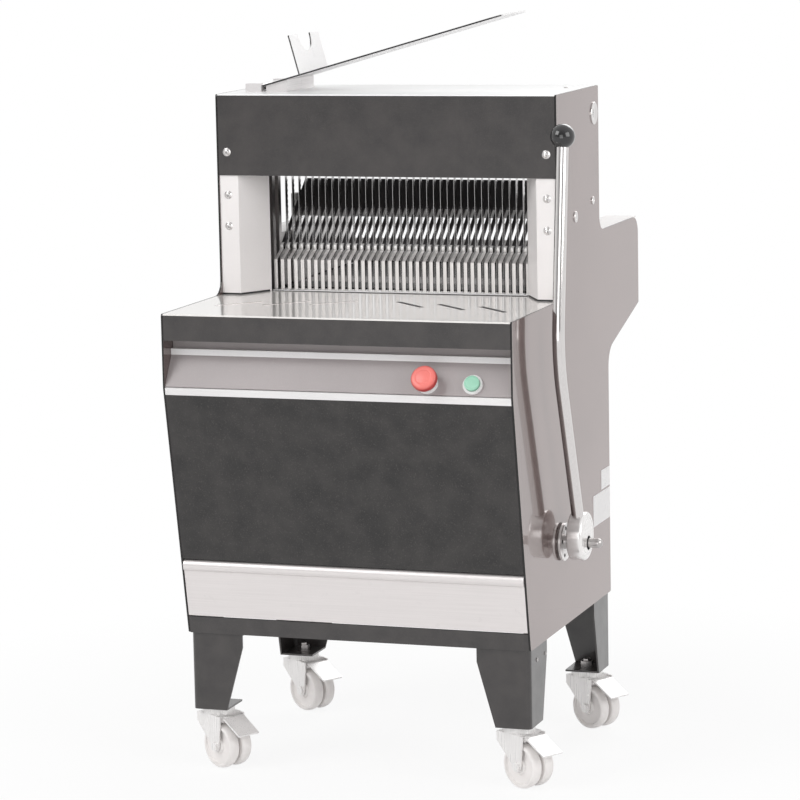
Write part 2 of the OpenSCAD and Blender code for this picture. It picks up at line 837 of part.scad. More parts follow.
// Frame of two upright bars, two rails with the lugs of blades first, first + 2 and so on, and a yoke
module blade_frame(rail_y, first, yoke_at) {
    lug_front = min(rail_y + rail_d - overrun, blade_y);
    lug_rear = max(rail_y + overrun, blade_y + blade_d);
    rail_half = stile_in - slit_gap;
    yoke_low = crank_z - yoke_rise;
    yoke_high = crank_z + yoke_rise;
    both_sides()
        box([stile_in, rail_y, crank_z - beam_h / 2], [stile_out, rail_y + rail_d, frame_up + rail_h / 2]);
    for (z = [frame_low, frame_up]) difference() {
        union() {
            box([-rail_half, rail_y, z - rail_h / 2], [rail_half, rail_y + rail_d, z + rail_h / 2]);
            for (i = [first : 2 : blade_count - 1])
                box([blade_x(i) - lug_w / 2, lug_front, z - lug_h / 2],
                    [blade_x(i) + lug_w / 2, lug_rear, z + lug_h / 2]);
        }
        for (i = [first : 2 : blade_count - 1])
            translate([blade_x(i) - blade_t / 2 - slit_gap, blade_y - slit_gap, z - lug_h / 2 - overrun])
                cube([blade_t + 2 * slit_gap, blade_d + 2 * slit_gap, lug_h + 2 * overrun]);
    }
    difference() {
        union() {
            box([yoke_at - yoke_t / 2, rail_y, yoke_high - overrun],
                [yoke_at + yoke_t / 2, rail_y + rail_d, frame_low - rail_h / 2 - slit_gap]);
            box([yoke_at - yoke_t / 2, crank_y - yoke_half_d - yoke_wall, yoke_low],
                [yoke_at + yoke_t / 2, crank_y + yoke_half_d + yoke_wall, yoke_high]);
        }
        box([yoke_at - yoke_t / 2 - overrun, crank_y - yoke_half_d, crank_z - yoke_half_h],
            [yoke_at + yoke_t / 2 + overrun, crank_y + yoke_half_d, crank_z + yoke_half_h]);
    }
}
module blade_row(first) {
    for (i = [first : 2 : blade_count - 1])
        translate([blade_x(i) - blade_t / 2, blade_y, frame_low - blade_tail])
            cube([blade_t, blade_d, frame_up - frame_low + 2 * blade_tail]);
}
module blade_frame_front() {
    color(steel) set_down() blade_frame(front_rail_y, 0, -yoke_x);
}
module blades_front() {
    color(steel) set_down() blade_row(0);
}
module blade_frame_rear() {
    color(steel) set_down() blade_frame(rear_rail_y, 1, yoke_x);
}
module blades_rear() {
    color(steel) set_down() blade_row(1);
}

module crankshaft() {
    throw_half = yoke_t / 2 + web_gap;
    inside = yoke_x - throw_half - web_t;
    outside = yoke_x + throw_half + web_t;
    color(steel) set_down() {
        rod_x(bearing_x[0] - bearing_w, -outside + overrun, crank_y, crank_z, crank_r);
        rod_x(-inside - overrun, inside + overrun, crank_y, crank_z, crank_r);
        rod_x(outside - overrun, pulley_x + pulley_w + overrun, crank_y, crank_z, crank_r);
        for (side = [-1, 1]) {
            rod_x(side * yoke_x - throw_half - overrun, side * yoke_x + throw_half + overrun,
                crank_y - side * throw, crank_z, pin_r);
            for (x = [side * yoke_x - throw_half - web_t, side * yoke_x + throw_half])
                rod_x(x, x + web_t, crank_y, crank_z, web_r);
        }
    }
}
module crank_bearings() {
    color(charcoal) set_down() for (x = bearing_x) difference() {
        box([x, crank_y - crank_r - bearing_wall, crank_z - crank_r - bearing_wall],
            [x + bearing_w, beam_y, crank_z + crank_r + bearing_wall]);
        rod_x(x - overrun, x + bearing_w + overrun, crank_y, crank_z, crank_r + bore_gap);
    }
}
// Grooved pulley on the x axis
module grooved_pulley(r, bore) {
    side = (pulley_w - groove_w) / 2;
    rotate([90, 0, 90]) rotate_extrude() polygon([[bore, 0], [r, 0], [r, side], [r - groove_depth, side],
        [r - groove_depth, side + groove_w], [r, side + groove_w], [r, pulley_w], [bore, pulley_w]]);
}
module crank_pulley() {
    color(steel) set_down() translate([pulley_x, crank_y, crank_z]) grooved_pulley(big_r, crank_r + bore_gap);
}
module motor_pulley() {
    color(steel) set_down() {
        translate([pulley_x, motor_y, motor_z]) grooved_pulley(small_r, motor_shaft_r - overrun);
        rod_x(shaft_start, pulley_x + pulley_w + overrun, motor_y, motor_z, motor_shaft_r);
    }
}
// Loop round the two pulleys, grown by extra beyond the groove's floor
function belt_loop(extra) =
    let (run = [crank_y - motor_y, crank_z - motor_z],
         along = atan2(run[1], run[0]),
         lean = asin((big_r - small_r) / norm(run)),
         steps = 3 * arc_steps,
         high = big_r - groove_depth + extra,
         low = small_r - groove_depth + extra)
    concat(
        [for (i = [0 : steps]) let (a = along - 90 - lean + (180 + 2 * lean) * i / steps)
            [crank_y, crank_z] + high * [cos(a), sin(a)]],
        [for (i = [0 : steps]) let (a = along + 90 + lean + (180 - 2 * lean) * i / steps)
            [motor_y, motor_z] + low * [cos(a), sin(a)]]);
module drive_belt() {
    middle = pulley_x + pulley_w / 2;
    color(black) set_down() translate([middle - belt_w / 2, 0, 0]) rotate([90, 0, 90]) linear_extrude(belt_w)
        difference() {
            polygon(belt_loop(belt_t));
            polygon(belt_loop(slide_gap));
        }
}
module motor() {
    motor_end = motor_x + motor_len;
    color(charcoal) set_down() difference() {
        union() {
            rod_x(motor_x, motor_end, motor_y, motor_z, motor_r - rib_t);
            rod_x(motor_x, motor_x + fan_share * motor_len, motor_y, motor_z, motor_r);
            for (i = [0 : rib_count - 1])
                translate([motor_x, motor_y, motor_z]) rotate([i * 360 / rib_count, 0, 0])
                    translate([0, -rib_t / 2, 0]) cube([motor_len, rib_t, motor_r]);
            for (x = [motor_x, motor_end - motor_foot_w])
                box([x, motor_y - motor_foot_in, shelf_z],
                    [x + motor_foot_w, motor_y + motor_foot_in, motor_z - motor_r / 2]);
        }
        rod_x(shaft_start - overrun, motor_end + overrun, motor_y, motor_z, motor_shaft_r + bore_gap);
    }
}

module pusher_plate() {
    color(black) set_down() difference() {
        bent_sheet(comb_half + finger_w / 2, [tooth_start, plate_end], plate_t);
        for (i = [0 : blade_count - 1])
            box([blade_x(i) - slot_w / 2, finger_y, table_z], [blade_x(i) + slot_w / 2, slot_back, band_z]);
    }
}
// Bent fingers, each set against a clip with a knuckle that laps under the pusher plate
module pusher_fingers() {
    leaf = [leaf_run, leaf_rise] / norm([leaf_run, leaf_rise]);
    finger = [[finger_y, finger_foot], [finger_y, finger_foot + finger_h],
        knuckle - leaf * (knuckle_r + cover_gap)];
    clip = [knuckle, knuckle + plate_dir * finger_lap];
    color(nylon) set_down() for (i = [0 : blade_count])
        translate([blade_x(i) - blade_pitch / 2, 0, 0]) {
            for (path = [finger, clip])
                plate_x(-finger_w / 2, finger_w, strip(path, -finger_t));
            rod_x(-slot_w / 2, slot_w / 2, knuckle[0], knuckle[1], knuckle_r - bore_gap);
        }
}
module pusher_beam() {
    step = plate_dir * upright_d / cos(plate_slope);
    from = knuckle + plate_dir * (upright_y - knuckle[0]) / cos(plate_slope);
    low = from[1] - beam_drop;
    points = [[from[0], low], [from[0] + upright_d, low], from + step, from];
    color(charcoal) set_down() plate_x(-upright_in, 2 * upright_in, points);
}
// Carriage on the right side, with its pin slot, shoes, foot and upright
module carriage_side() {
    slot_y = -stroke / 2;
    slot_half = arm_pin_r + arm_pin_play;
    rear = upright_y + upright_d;
    upright_top = knuckle[1] + (rear - knuckle[0]) * tan(plate_slope);
    front = slot_y - slot_half - side_wall;
    difference() {
        union() {
            box([side_in, front, shoe_low], [side_out, rear, side_high]);
            box([side_in, front, side_low], [side_out, slot_y + slot_half + side_wall, side_high]);
            box([upright_in, upright_y, upright_low], [side_out, rear, side_high]);
            box([upright_in, upright_y, upright_low], [upright_out, rear, upright_top]);
            for (y = [front, rear - shoe_len], z = [shoe_low, guide_rail_z + guide_rail_h / 2 + slide_gap])
                translate([side_out - overrun, y, z]) cube([rail_gap + shoe_h, shoe_len, shoe_h]);
        }
        box([side_in - overrun, slot_y - slot_half, arm_low - arm_pin_r - sheet_t],
            [side_out + overrun, slot_y + slot_half, arm_high + arm_pin_r + sheet_t]);
    }
}
module pusher_carriage() {
    color(charcoal) set_down() both_sides() carriage_side();
}
module pusher_rails() {
    color(steel) set_down() both_sides()
        box([rail_in, -stroke / 2 - arm_w - sheet_t, guide_rail_z - guide_rail_h / 2],
            [inner_x, trough_end - sheet_t, guide_rail_z + guide_rail_h / 2]);
}

module swing_arms() {
    color(charcoal) set_down() both_sides() translate([0, 0, shaft_z]) rotate([swing, 0, 0]) difference() {
        union() {
            box([arm_in, -arm_w / 2, 0], [arm_out, arm_w / 2, arm_len]);
            rod_x(arm_in, arm_out, 0, arm_len, arm_w / 2);
            rod_x(arm_in - arm_collar, arm_out, 0, 0, arm_hub_r);
            rod_x(arm_out - overrun, side_out + overrun, 0, arm_len, arm_pin_r);
        }
        rod_x(arm_in - arm_collar - overrun, arm_out + overrun, 0, 0, shaft_r + bore_gap);
    }
}
module lever_shaft() {
    outer = half_w + hub_gap + hub_t;
    color(steel) set_down() {
        rod_x(sheet_t - inner_x, outer, 0, shaft_z, shaft_r);
        rod_x(outer - overrun, outer + dome_len, 0, shaft_z, dome_r);
        translate([outer + dome_len, 0, shaft_z]) sphere(dome_r);
    }
}
module shaft_flanges() {
    bore = shaft_r + bore_gap;
    color(steel) set_down() for (x = [-inner_x, half_w]) translate([x, 0, shaft_z])
        rotate([90, 0, 90]) rotate_extrude() polygon([[bore, 0], [flange_neck_r, 0],
            [flange_neck_r, flange_neck], [flange_r, flange_neck], [flange_r, flange_t - flange_edge],
            [flange_r - flange_edge, flange_t], [bore, flange_t]]);
}
// Frame of the lever rod's lower leg: origin on the shaft, z up the leg
module on_lever() {
    translate([lever_x, 0, shaft_z]) rotate([low_turn, 0, 0]) children();
}
module lever_hub() {
    color(steel) set_down() difference() {
        on_lever() translate([-hub_t / 2, 0, hub_shift]) rotate([90, 0, 90]) rotate_extrude()
            polygon([[0, 0], [hub_r - hub_edge, 0], [hub_r, hub_edge], [hub_r, hub_t - hub_edge],
                [hub_r - hub_edge, hub_t], [0, hub_t]]);
        rod_x(half_w + hub_gap - overrun, half_w + hub_gap + hub_t + overrun, 0, shaft_z, shaft_r + bore_gap);
        on_lever() translate([0, 0, socket_in]) cylinder(h = hub_shift + hub_r, r = lever_r + bore_gap);
    }
}
// Ring of the lever rod round a point of its middle line, whose direction leans back by an angle
function rod_ring(at, lean) = [for (i = [0 : rod_sides - 1]) let (a = i * 360 / rod_sides)
    [lever_r * cos(a), at[0] + lever_r * sin(a) * cos(lean), at[1] - lever_r * sin(a) * sin(lean)]];
// Places of the rings in the frame of the lower leg: distance back, height, lean
rod_path = concat([[0, socket_in, 0]],
    [for (i = [0 : bend_steps]) let (a = bend_turn * i / bend_steps)
        [bend_r * (1 - cos(a)), low_len + bend_r * sin(a), a]],
    [[bend_r * (1 - cos(bend_turn)) + high_len * sin(bend_turn),
        low_len + bend_r * sin(bend_turn) + high_len * cos(bend_turn), bend_turn]]);
module lever_rod() {
    last = len(rod_path) - 1;
    points = [for (p = rod_path) each rod_ring(p, p[2])];
    sides = [for (j = [0 : last - 1], i = [0 : rod_sides - 1]) let (k = (i + 1) % rod_sides)
        [j * rod_sides + i, (j + 1) * rod_sides + i, (j + 1) * rod_sides + k, j * rod_sides + k]];
    caps = [[for (i = [0 : rod_sides - 1]) i], [for (i = [rod_sides - 1 : -1 : 0]) last * rod_sides + i]];
    color(steel) set_down() on_lever() {
        polyhedron(points, concat(sides, caps));
        at_rod_end() translate([0, 0, -overrun]) cylinder(h = spigot_len + overrun, r = spigot_r);
    }
}
// Frame of the rod's upper end, within the frame of its lower leg
module at_rod_end() {
    end = rod_path[len(rod_path) - 1];
    translate([0, end[0], end[1]]) rotate([-end[2], 0, 0]) children();
}
module lever_knob() {
    color(black) set_down() on_lever() at_rod_end() difference() {
        translate([0, 0, seat_deep]) sphere(knob_r);
        translate([0, 0, -knob_r]) cylinder(h = knob_r, r = knob_r);
        translate([0, 0, -overrun]) cylinder(h = spigot_len + 2 * overrun, r = spigot_r + bore_gap);
    }
}

module button_collars() {
    color(trim_white) set_down() {
        on_panel(stop_x) difference() {
            union() {
                cylinder(h = collar_t, r = collar_r);
                translate([0, 0, -barrel_len]) cylinder(h = barrel_len + overrun, r = stem_hole_r);
            }
            translate([0, 0, -barrel_len - overrun])
                cylinder(h = barrel_len + collar_t + 2 * overrun, r = stop_stem_r + bore_gap);
        }
        on_panel(start_x) difference() {
            union() {
                cylinder(h = start_ring_t, r = start_r);
                translate([0, 0, -barrel_len]) cylinder(h = barrel_len + overrun, r = stem_hole_r);
            }
            translate([0, 0, -barrel_len - overrun])
                cylinder(h = barrel_len + start_ring_t + 2 * overrun, r = start_stem_r + bore_gap);
            translate([0, 0, start_ring_t - start_travel - overrun])
                cylinder(h = start_travel + 2 * overrun, r = start_cap_r + bore_gap);
        }
    }
}
module start_button() {
    color([0.30, 0.62, 0.42]) set_down() on_panel(start_x) {
        translate([0, 0, start_ring_t - cover_gap]) cylinder(h = start_cap_t, r = start_cap_r);
        translate([0, 0, -start_len + start_ring_t]) cylinder(h = start_len, r = start_stem_r);
    }
}
module stop_stem() {
    top = collar_t + stop_cap_lift;
    color(steel) set_down() on_panel(stop_x) {
        translate([0, 0, top - stop_len]) cylinder(h = stop_len, r = stop_stem_r);
        translate([0, 0, top - overrun]) cylinder(h = stop_cap_t / 2 + overrun, r = stop_spigot_r);
    }
}
module stop_cap() {
    top = collar_t + stop_cap_lift;
    color([0.80, 0.16, 0.14]) set_down() on_panel(stop_x) translate([0, 0, top + bore_gap]) difference() {
        rotate_extrude() polygon([[0, 0], [stop_r - overrun, 0], [stop_r, overrun], [stop_r, stop_cap_t / 2],
            [stop_r * stop_crown_share, stop_cap_t], [0, stop_cap_t]]);
        translate([0, 0, -overrun]) cylinder(h = stop_cap_t / 2 + 2 * overrun, r = stop_spigot_r + bore_gap);
    }
}

// Frame of the shovel's plate: origin on the hinge pin, x up the plate
module on_shovel() {
    translate([shovel_pin[0], shovel_y, shovel_pin[1]]) rotate([0, -shovel_slope, 0]) children();
}
module shovel_bracket() {
    rear = shovel_y + shovel_d;
    wedge_y = shovel_y + wedge_inset;
    low = shovel_pin[1] - shovel_t / 2 / cos(shovel_slope) - cover_gap;
    rise = tan(shovel_slope);
    from = shovel_pin[0] + wedge_from;
    to = from + wedge_len;
    wedge = [[from, head_top], [to, head_top], [to, low + (wedge_from + wedge_len) * rise],
        [from, low + wedge_from * rise]];
    color(steel) set_down() {
        box([shovel_pin[0] - bracket_out, shovel_y, head_top], [to, rear, head_top + sheet_t / 2]);
        plate_y(wedge_y, shovel_d - 2 * wedge_inset, wedge);
        for (y = [shovel_y, rear - lug_d])
            box([shovel_pin[0] - bracket_out, y, head_top],
                [shovel_pin[0] + barrel_r, y + lug_d, shovel_pin[1] + barrel_r]);
        rod_y(shovel_y, rear, shovel_pin[0], shovel_pin[1], hinge_pin_r);
    }
}
module shovel_plate() {
    corners = [[0, 0], [shovel_len, 0], [shovel_len, shovel_d], [0, shovel_d]];
    radii = [overrun, shovel_tip_r, shovel_tip_r, overrun];
    barrel_d = shovel_d - 2 * lug_d - 2 * cover_gap;
    color(steel) set_down() on_shovel() difference() {
        union() {
            intersection() {
                translate([0, 0, -shovel_t / 2]) linear_extrude(shovel_t) polygon(outline(corners, radii));
                union() {
                    translate([0, lug_d + cover_gap, -shovel_t]) cube([shovel_len, barrel_d, 2 * shovel_t]);
                    translate([shovel_root, 0, -shovel_t]) cube([shovel_len, shovel_d, 2 * shovel_t]);
                }
            }
            translate([0, lug_d + cover_gap, 0]) rotate([-90, 0, 0]) cylinder(h = barrel_d, r = barrel_r);
            translate([stop_from, 0, 0]) difference() {
                cube([shovel_t, shovel_d, stop_plate_h]);
                translate([-overrun, shovel_d / 2, stop_plate_h]) rotate([0, 90, 0])
                    cylinder(h = shovel_t + 2 * overrun, r = notch_r);
            }
        }
        rotate([-90, 0, 0]) translate([0, 0, -overrun])
            cylinder(h = shovel_d + 2 * overrun, r = hinge_pin_r + bore_gap);
    }
}

// Screw with its head at the front, along the y axis
module screw() {
    rotate([90, 0, 0]) {
        cylinder(h = screw_head_t, r1 = screw_head_r, r2 = screw_head_r * screw_crown_share);
        translate([0, 0, -screw_len]) cylinder(h = screw_len + overrun, r = screw_r);
    }
}
module screws() {
    color(trim_white) set_down() {
        for (x = [-1, 1] * (inner_x - band_screw_in)) {
            translate([x, 0, band_z + band_screw_up]) screw();
            for (down = pillar_screw_down)
                translate([x, pillar_set, band_z - down]) screw();
        }
        for (p = plugs) {
            rod_x(inner_x - overrun, half_w + overrun, p[0], head_top - p[1], p[2]);
            rod_x(half_w, half_w + plug_t, p[0], head_top - p[1], p[2] * plug_head_share);
        }
    }
}

// Frame of caster i: origin under its stem, x towards its axle and pedal
module at_caster(i) {
    translate([caster_places[i][0], caster_places[i][1], 0]) rotate([0, 0, caster_turn]) children();
}
module caster_bolts() {
    color(steel) set_down() for (i = [0 : len(caster_places) - 1]) at_caster(i) {
        translate([0, 0, fork_low - cover_gap - stem_head_t]) {
            cylinder(h = stem_head_t, r = stem_head_r);
            cylinder(h = stem_head_t + leg_z + leg_t + stem_over - fork_low, r = stem_r);
        }
        translate([0, 0, leg_z + leg_t]) cylinder(h = nut_t, r = nut_r, $fn = 6);
    }
}
module caster_fork() {
    cheek = [[-fork_half, crown_low], [-fork_half, fork_low - fork_drop], [trail - axle_boss_r, wheel_r],
        [trail + axle_boss_r, wheel_r], [hinge_at[0] + hinge_boss_r, fork_low - fork_drop],
        [hinge_at[0] + hinge_boss_r, crown_low]];
    difference() {
        union() {
            translate([0, 0, crown_low]) cylinder(h = crown_t, r = crown_r);
            box([-fork_half, -fork_out, fork_low], [fork_half, fork_out, crown_low + overrun]);
            for (y = [-fork_out, fork_in]) {
                plate_y(y, fork_t, cheek);
                rod_y(y, y + fork_t, trail, wheel_r, axle_boss_r);
            }
        }
        translate([0, 0, fork_low - overrun]) cylinder(h = crown_top, r = stem_r + bore_gap);
        rod_y(-fork_out - overrun, fork_out + overrun, trail, wheel_r, axle_r + bore_gap);
        rod_y(-fork_out - overrun, fork_out + overrun, hinge_at[0], hinge_at[1], hinge_r + bore_gap);
    }
    rod_y(-fork_out - axle_head_t, fork_out + axle_head_t, trail, wheel_r, axle_r);
    for (y = [-fork_out - axle_head_t, fork_out])
        rod_y(y, y + axle_head_t, trail, wheel_r, axle_head_r);
}
module fork_front_left() {
    color(nylon) set_down() at_caster(0) caster_fork();
}
module fork_front_right() {
    color(nylon) set_down() at_caster(1) caster_fork();
}
module fork_rear_left() {
    color(nylon) set_down() at_caster(2) caster_fork();
}
module fork_rear_right() {
    color(nylon) set_down() at_caster(3) caster_fork();
}
// Wheel on the y axis, with a dished outer face
module caster_wheel() {
    bore = axle_r + bore_gap;
    inner_rim = wheel_r - wheel_rim;
    dish_y = wheel_w - wheel_dish;
    rotate([-90, 0, 0]) rotate_extrude() polygon([[bore, 0], [wheel_r - wheel_round, 0],
        [wheel_r, wheel_round], [wheel_r, wheel_w - wheel_round], [wheel_r - wheel_round, wheel_w],
        [inner_rim, wheel_w], [inner_rim, dish_y], [wheel_boss_r, dish_y], [wheel_boss_r, wheel_w],
        [bore, wheel_w]]);
}
module caster_wheels() {
    translate([trail, wheel_gap, wheel_r]) caster_wheel();
    translate([trail, -wheel_gap, wheel_r]) mirror([0, 1, 0]) caster_wheel();
}
module wheels_front_left() {
    color(nylon) set_down() at_caster(0) caster_wheels();
}
module wheels_front_right() {
    color(nylon) set_down() at_caster(1) caster_wheels();
}
module wheels_rear_left() {
    color(nylon) set_down() at_caster(2) caster_wheels();
}
module wheels_rear_right() {
    color(nylon) set_down() at_caster(3) caster_wheels();
}
// Brake pedal with its hinge pin
module caster_pedal() {
    top = hinge_at[1] + hinge_boss_r;
    knee = hinge_at[0] + pedal_flat;
    run = pedal_len - pedal_flat;
    path = [[hinge_at[0], top], [knee, top],
        [knee + run * cos(pedal_slope), top - run * sin(pedal_slope)]];
    plate_y(-pedal_half, 2 * pedal_half, strip(path, -pedal_t));
    rod_y(-pedal_half, pedal_half, hinge_at[0], hinge_at[1], hinge_boss_r);
    rod_y(-fork_out, fork_out, hinge_at[0], hinge_at[1], hinge_r);
}
module pedal_front_left() {
    color(nylon) set_down() at_caster(0) caster_pedal();
}
module pedal_front_right() {
    color(nylon) set_down() at_caster(1) caster_pedal();
}
module pedal_rear_left() {
    color(nylon) set_down() at_caster(2) caster_pedal();
}
module pedal_rear_right() {
    color(nylon) set_down() at_caster(3) caster_pedal();
}

side_panel_left();
side_panel_right();
head_bands();
head_top_cover();
pillar_covers();
out_table();
table_fascia();
trim_strips();
control_panel();
lower_front_panel();
back_cover();
trough_floor();
trough_liners();
base_frame();
crumb_drawer();
front_legs();
rear_legs();
cross_beams();
frame_guides();
blade_frame_front();
blades_front();
blade_frame_rear();
blades_rear();
crankshaft();
crank_bearings();
crank_pulley();
drive_belt();
motor();
motor_pulley();
pusher_plate();
pusher_fingers();
pusher_beam();
pusher_carriage();
pusher_rails();
swing_arms();
lever_shaft();
shaft_flanges();
lever_hub();
lever_rod();
lever_knob();
button_collars();
start_button();
stop_stem();
stop_cap();
shovel_bracket();
shovel_plate();
screws();
caster_bolts();
fork_front_left();
fork_front_right();
fork_rear_left();
fork_rear_right();
wheels_front_left();
wheels_front_right();
wheels_rear_left();
wheels_rear_right();
pedal_front_left();
pedal_front_right();
pedal_rear_left();
pedal_rear_right();
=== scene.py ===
import json
import math

import bmesh
import bpy
import numpy as np
from mathutils import Matrix, Vector


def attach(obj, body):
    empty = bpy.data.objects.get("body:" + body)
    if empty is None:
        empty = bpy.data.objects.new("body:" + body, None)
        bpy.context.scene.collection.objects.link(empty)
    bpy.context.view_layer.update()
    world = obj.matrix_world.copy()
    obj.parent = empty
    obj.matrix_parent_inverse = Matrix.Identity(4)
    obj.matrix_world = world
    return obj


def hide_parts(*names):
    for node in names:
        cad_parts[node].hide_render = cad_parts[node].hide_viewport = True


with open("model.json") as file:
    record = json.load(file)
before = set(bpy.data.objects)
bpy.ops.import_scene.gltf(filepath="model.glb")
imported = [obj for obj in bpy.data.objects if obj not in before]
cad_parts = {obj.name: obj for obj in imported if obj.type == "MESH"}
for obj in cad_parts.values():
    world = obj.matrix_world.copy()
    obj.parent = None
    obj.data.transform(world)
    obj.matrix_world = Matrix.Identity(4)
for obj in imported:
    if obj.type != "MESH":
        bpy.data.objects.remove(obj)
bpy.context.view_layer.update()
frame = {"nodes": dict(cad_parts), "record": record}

nodes = frame["nodes"]
record = frame["record"]

# machine frame: x from the middle plane, y from the head's front, z from the floor, in millimetres;
# the table's mount lies on the middle plane, in front of the head
machine = dict(perMetre=1000.0, mountX=0.0, mountY=-200.0)
mountAt = np.array(record["mounts"][0]["pos_m"][:2]) * machine["perMetre"]
footMiddle = np.array([machine["mountX"] - mountAt[0], machine["mountY"] - mountAt[1], 0.0])


def atMachine(points):
    # machine points in metres, about the middle of the footprint
    return (np.asarray(points, float) - footMiddle) / machine["perMetre"]


# camera: stands in front, turned to the right side and looking slightly down
cameraSet = dict(yaw=19.0, pitch=-8.758, roll=-1.137, focalPixels=3450.4, frame=800, sensor=36.0, clipEnd=50.0,
                 targetX=19.37, targetZ=600.2, distance=5713.7)


def addCamera(c):
    yaw, pitch, roll = (math.radians(c[k]) for k in ("yaw", "pitch", "roll"))
    ahead = np.array([-math.sin(yaw) * math.cos(pitch), math.cos(yaw) * math.cos(pitch), math.sin(pitch)])
    right = np.array([math.cos(yaw), math.sin(yaw), 0.0])
    up = np.cross(right, ahead)
    turnedRight = math.cos(roll) * right + math.sin(roll) * up
    turnedUp = -math.sin(roll) * right + math.cos(roll) * up
    place = atMachine((c["targetX"], 0, c["targetZ"])) - ahead * c["distance"] / machine["perMetre"]
    cam = bpy.data.cameras.new("camera")
    cam.sensor_width = c["sensor"]
    cam.lens = c["sensor"] * c["focalPixels"] / c["frame"]
    cam.clip_end = c["clipEnd"]
    ob = bpy.data.objects.new("camera", cam)
    bpy.context.scene.collection.objects.link(ob)
    turn = np.eye(4)
    turn[:3, 0], turn[:3, 1], turn[:3, 2], turn[:3, 3] = turnedRight, turnedUp, -ahead, place
    ob.matrix_world = Matrix(turn.tolist())
    bpy.context.scene.camera = ob


addCamera(cameraSet)
print("camera placed")


# one wrapped socket: arithmetic on it adds Math nodes
class Sock:
    def __init__(self, tree, socket=None):
        self.tree, self.socket = tree, socket

    # any node: type, settings first, then the values or links of its inputs
    def node(self, kind, settings=None, inputs=None, out=0):
        made = self.tree.nodes.new(kind)
        for key, value in (settings or {}).items():
            setattr(made, key, value)
        for key, value in (inputs or {}).items():
            if isinstance(value, Sock):
                self.tree.links.new(value.socket, made.inputs[key])
            else:
                made.inputs[key].default_value = value
        return Sock(self.tree, made.outputs[out])

    def maths(self, operation, first, second=0.0, clamp=False):
        return self.node("ShaderNodeMath", dict(operation=operation, use_clamp=clamp), {0: first, 1: second})

    def __add__(self, other): return self.maths("ADD", self, other)
    def __radd__(self, other): return self.maths("ADD", other, self)
    def __sub__(self, other): return self.maths("SUBTRACT", self, other)
    def __rsub__(self, other): return self.maths("SUBTRACT", other, self)
    def __mul__(self, other): return self.maths("MULTIPLY", self, other)
    def __rmul__(self, other): return self.maths("MULTIPLY", other, self)

    # 0 below low, 1 above high
    def between(self, low, high):
        return self.node("ShaderNodeMapRange", dict(clamp=True), {0: self, 1: low, 2: high})


def linear(rgb):
    # screen values 0 to 255 turned to light values
    c = np.array(rgb, float) / 255
    return tuple(np.where(c <= 0.04045, c / 12.92, ((c + 0.055) / 1.055) ** 2.4)) + (1.0,)


class Finish:
    def __init__(self, name, **fixed):
        self.material = bpy.data.materials.new(name)
        self.material.use_nodes = True
        self.tree = self.material.node_tree
        self.shader = self.tree.nodes["Principled BSDF"]
        self.at = Sock(self.tree).node("ShaderNodeTexCoord", out=3)
        for key, value in fixed.items():
            self.shader.inputs[key.replace("_", " ")].default_value = value

    def noise(self, scale, detail=3.0, rough=0.55, stretch=(1, 1, 1)):
        where = self.at.node("ShaderNodeMapping", None, {"Vector": self.at, "Scale": stretch})
        return self.at.node("ShaderNodeTexNoise", None,
                            {"Vector": where, "Scale": scale, "Detail": detail, "Roughness": rough})

    def axis(self, which):
        return self.at.node("ShaderNodeSeparateXYZ", None, {0: self.at}, which)

    # 1 where the surface faces along an axis of the object, 0 where it faces across it
    def facing(self, which, low=0.3, high=0.6):
        normal = self.at.node("ShaderNodeTexCoord", out=1)
        way = self.at.node("ShaderNodeSeparateXYZ", None, {0: normal}, which)
        return (way * way).between(low, high)

    # first colour where mask is 0, second where it is 1
    def mix(self, first, second, mask):
        start = first if isinstance(first, Sock) else linear(first)
        end = second if isinstance(second, Sock) else linear(second)
        return self.at.node("ShaderNodeMix", dict(data_type="RGBA"), {0: mask, 6: start, 7: end}, 2)

    def feed(self, **links):
        for key, value in links.items():
            self.tree.links.new(value.socket, self.shader.inputs[key.replace("_", " ")])

    def bump(self, height, strength, distance):
        self.feed(Normal=self.at.node("ShaderNodeBump", None,
                                      {"Strength": strength, "Distance": distance, "Height": height}))


# painted sheet: two close tones in soft clouds, fine speckle, orange-peel bump, worn streaks
paintSet = dict(ior=1.5, cloudDetail=4.0, grainDetail=2.0, scuff=(34.0, 6.0, 0.7, (1, 1, 0.12)), scuffSpan=(0.62, 0.80),
                speckSpan=(0.56, 0.74), speckShare=0.55, wornGain=1.25, wornLift=12, wornShare=0.18, roughCloud=0.16,
                roughScuff=0.12, roughGrain=0.10, peel=(420.0, 2.0), peelShare=0.6, grainShare=0.4, peelDepth=0.0006)


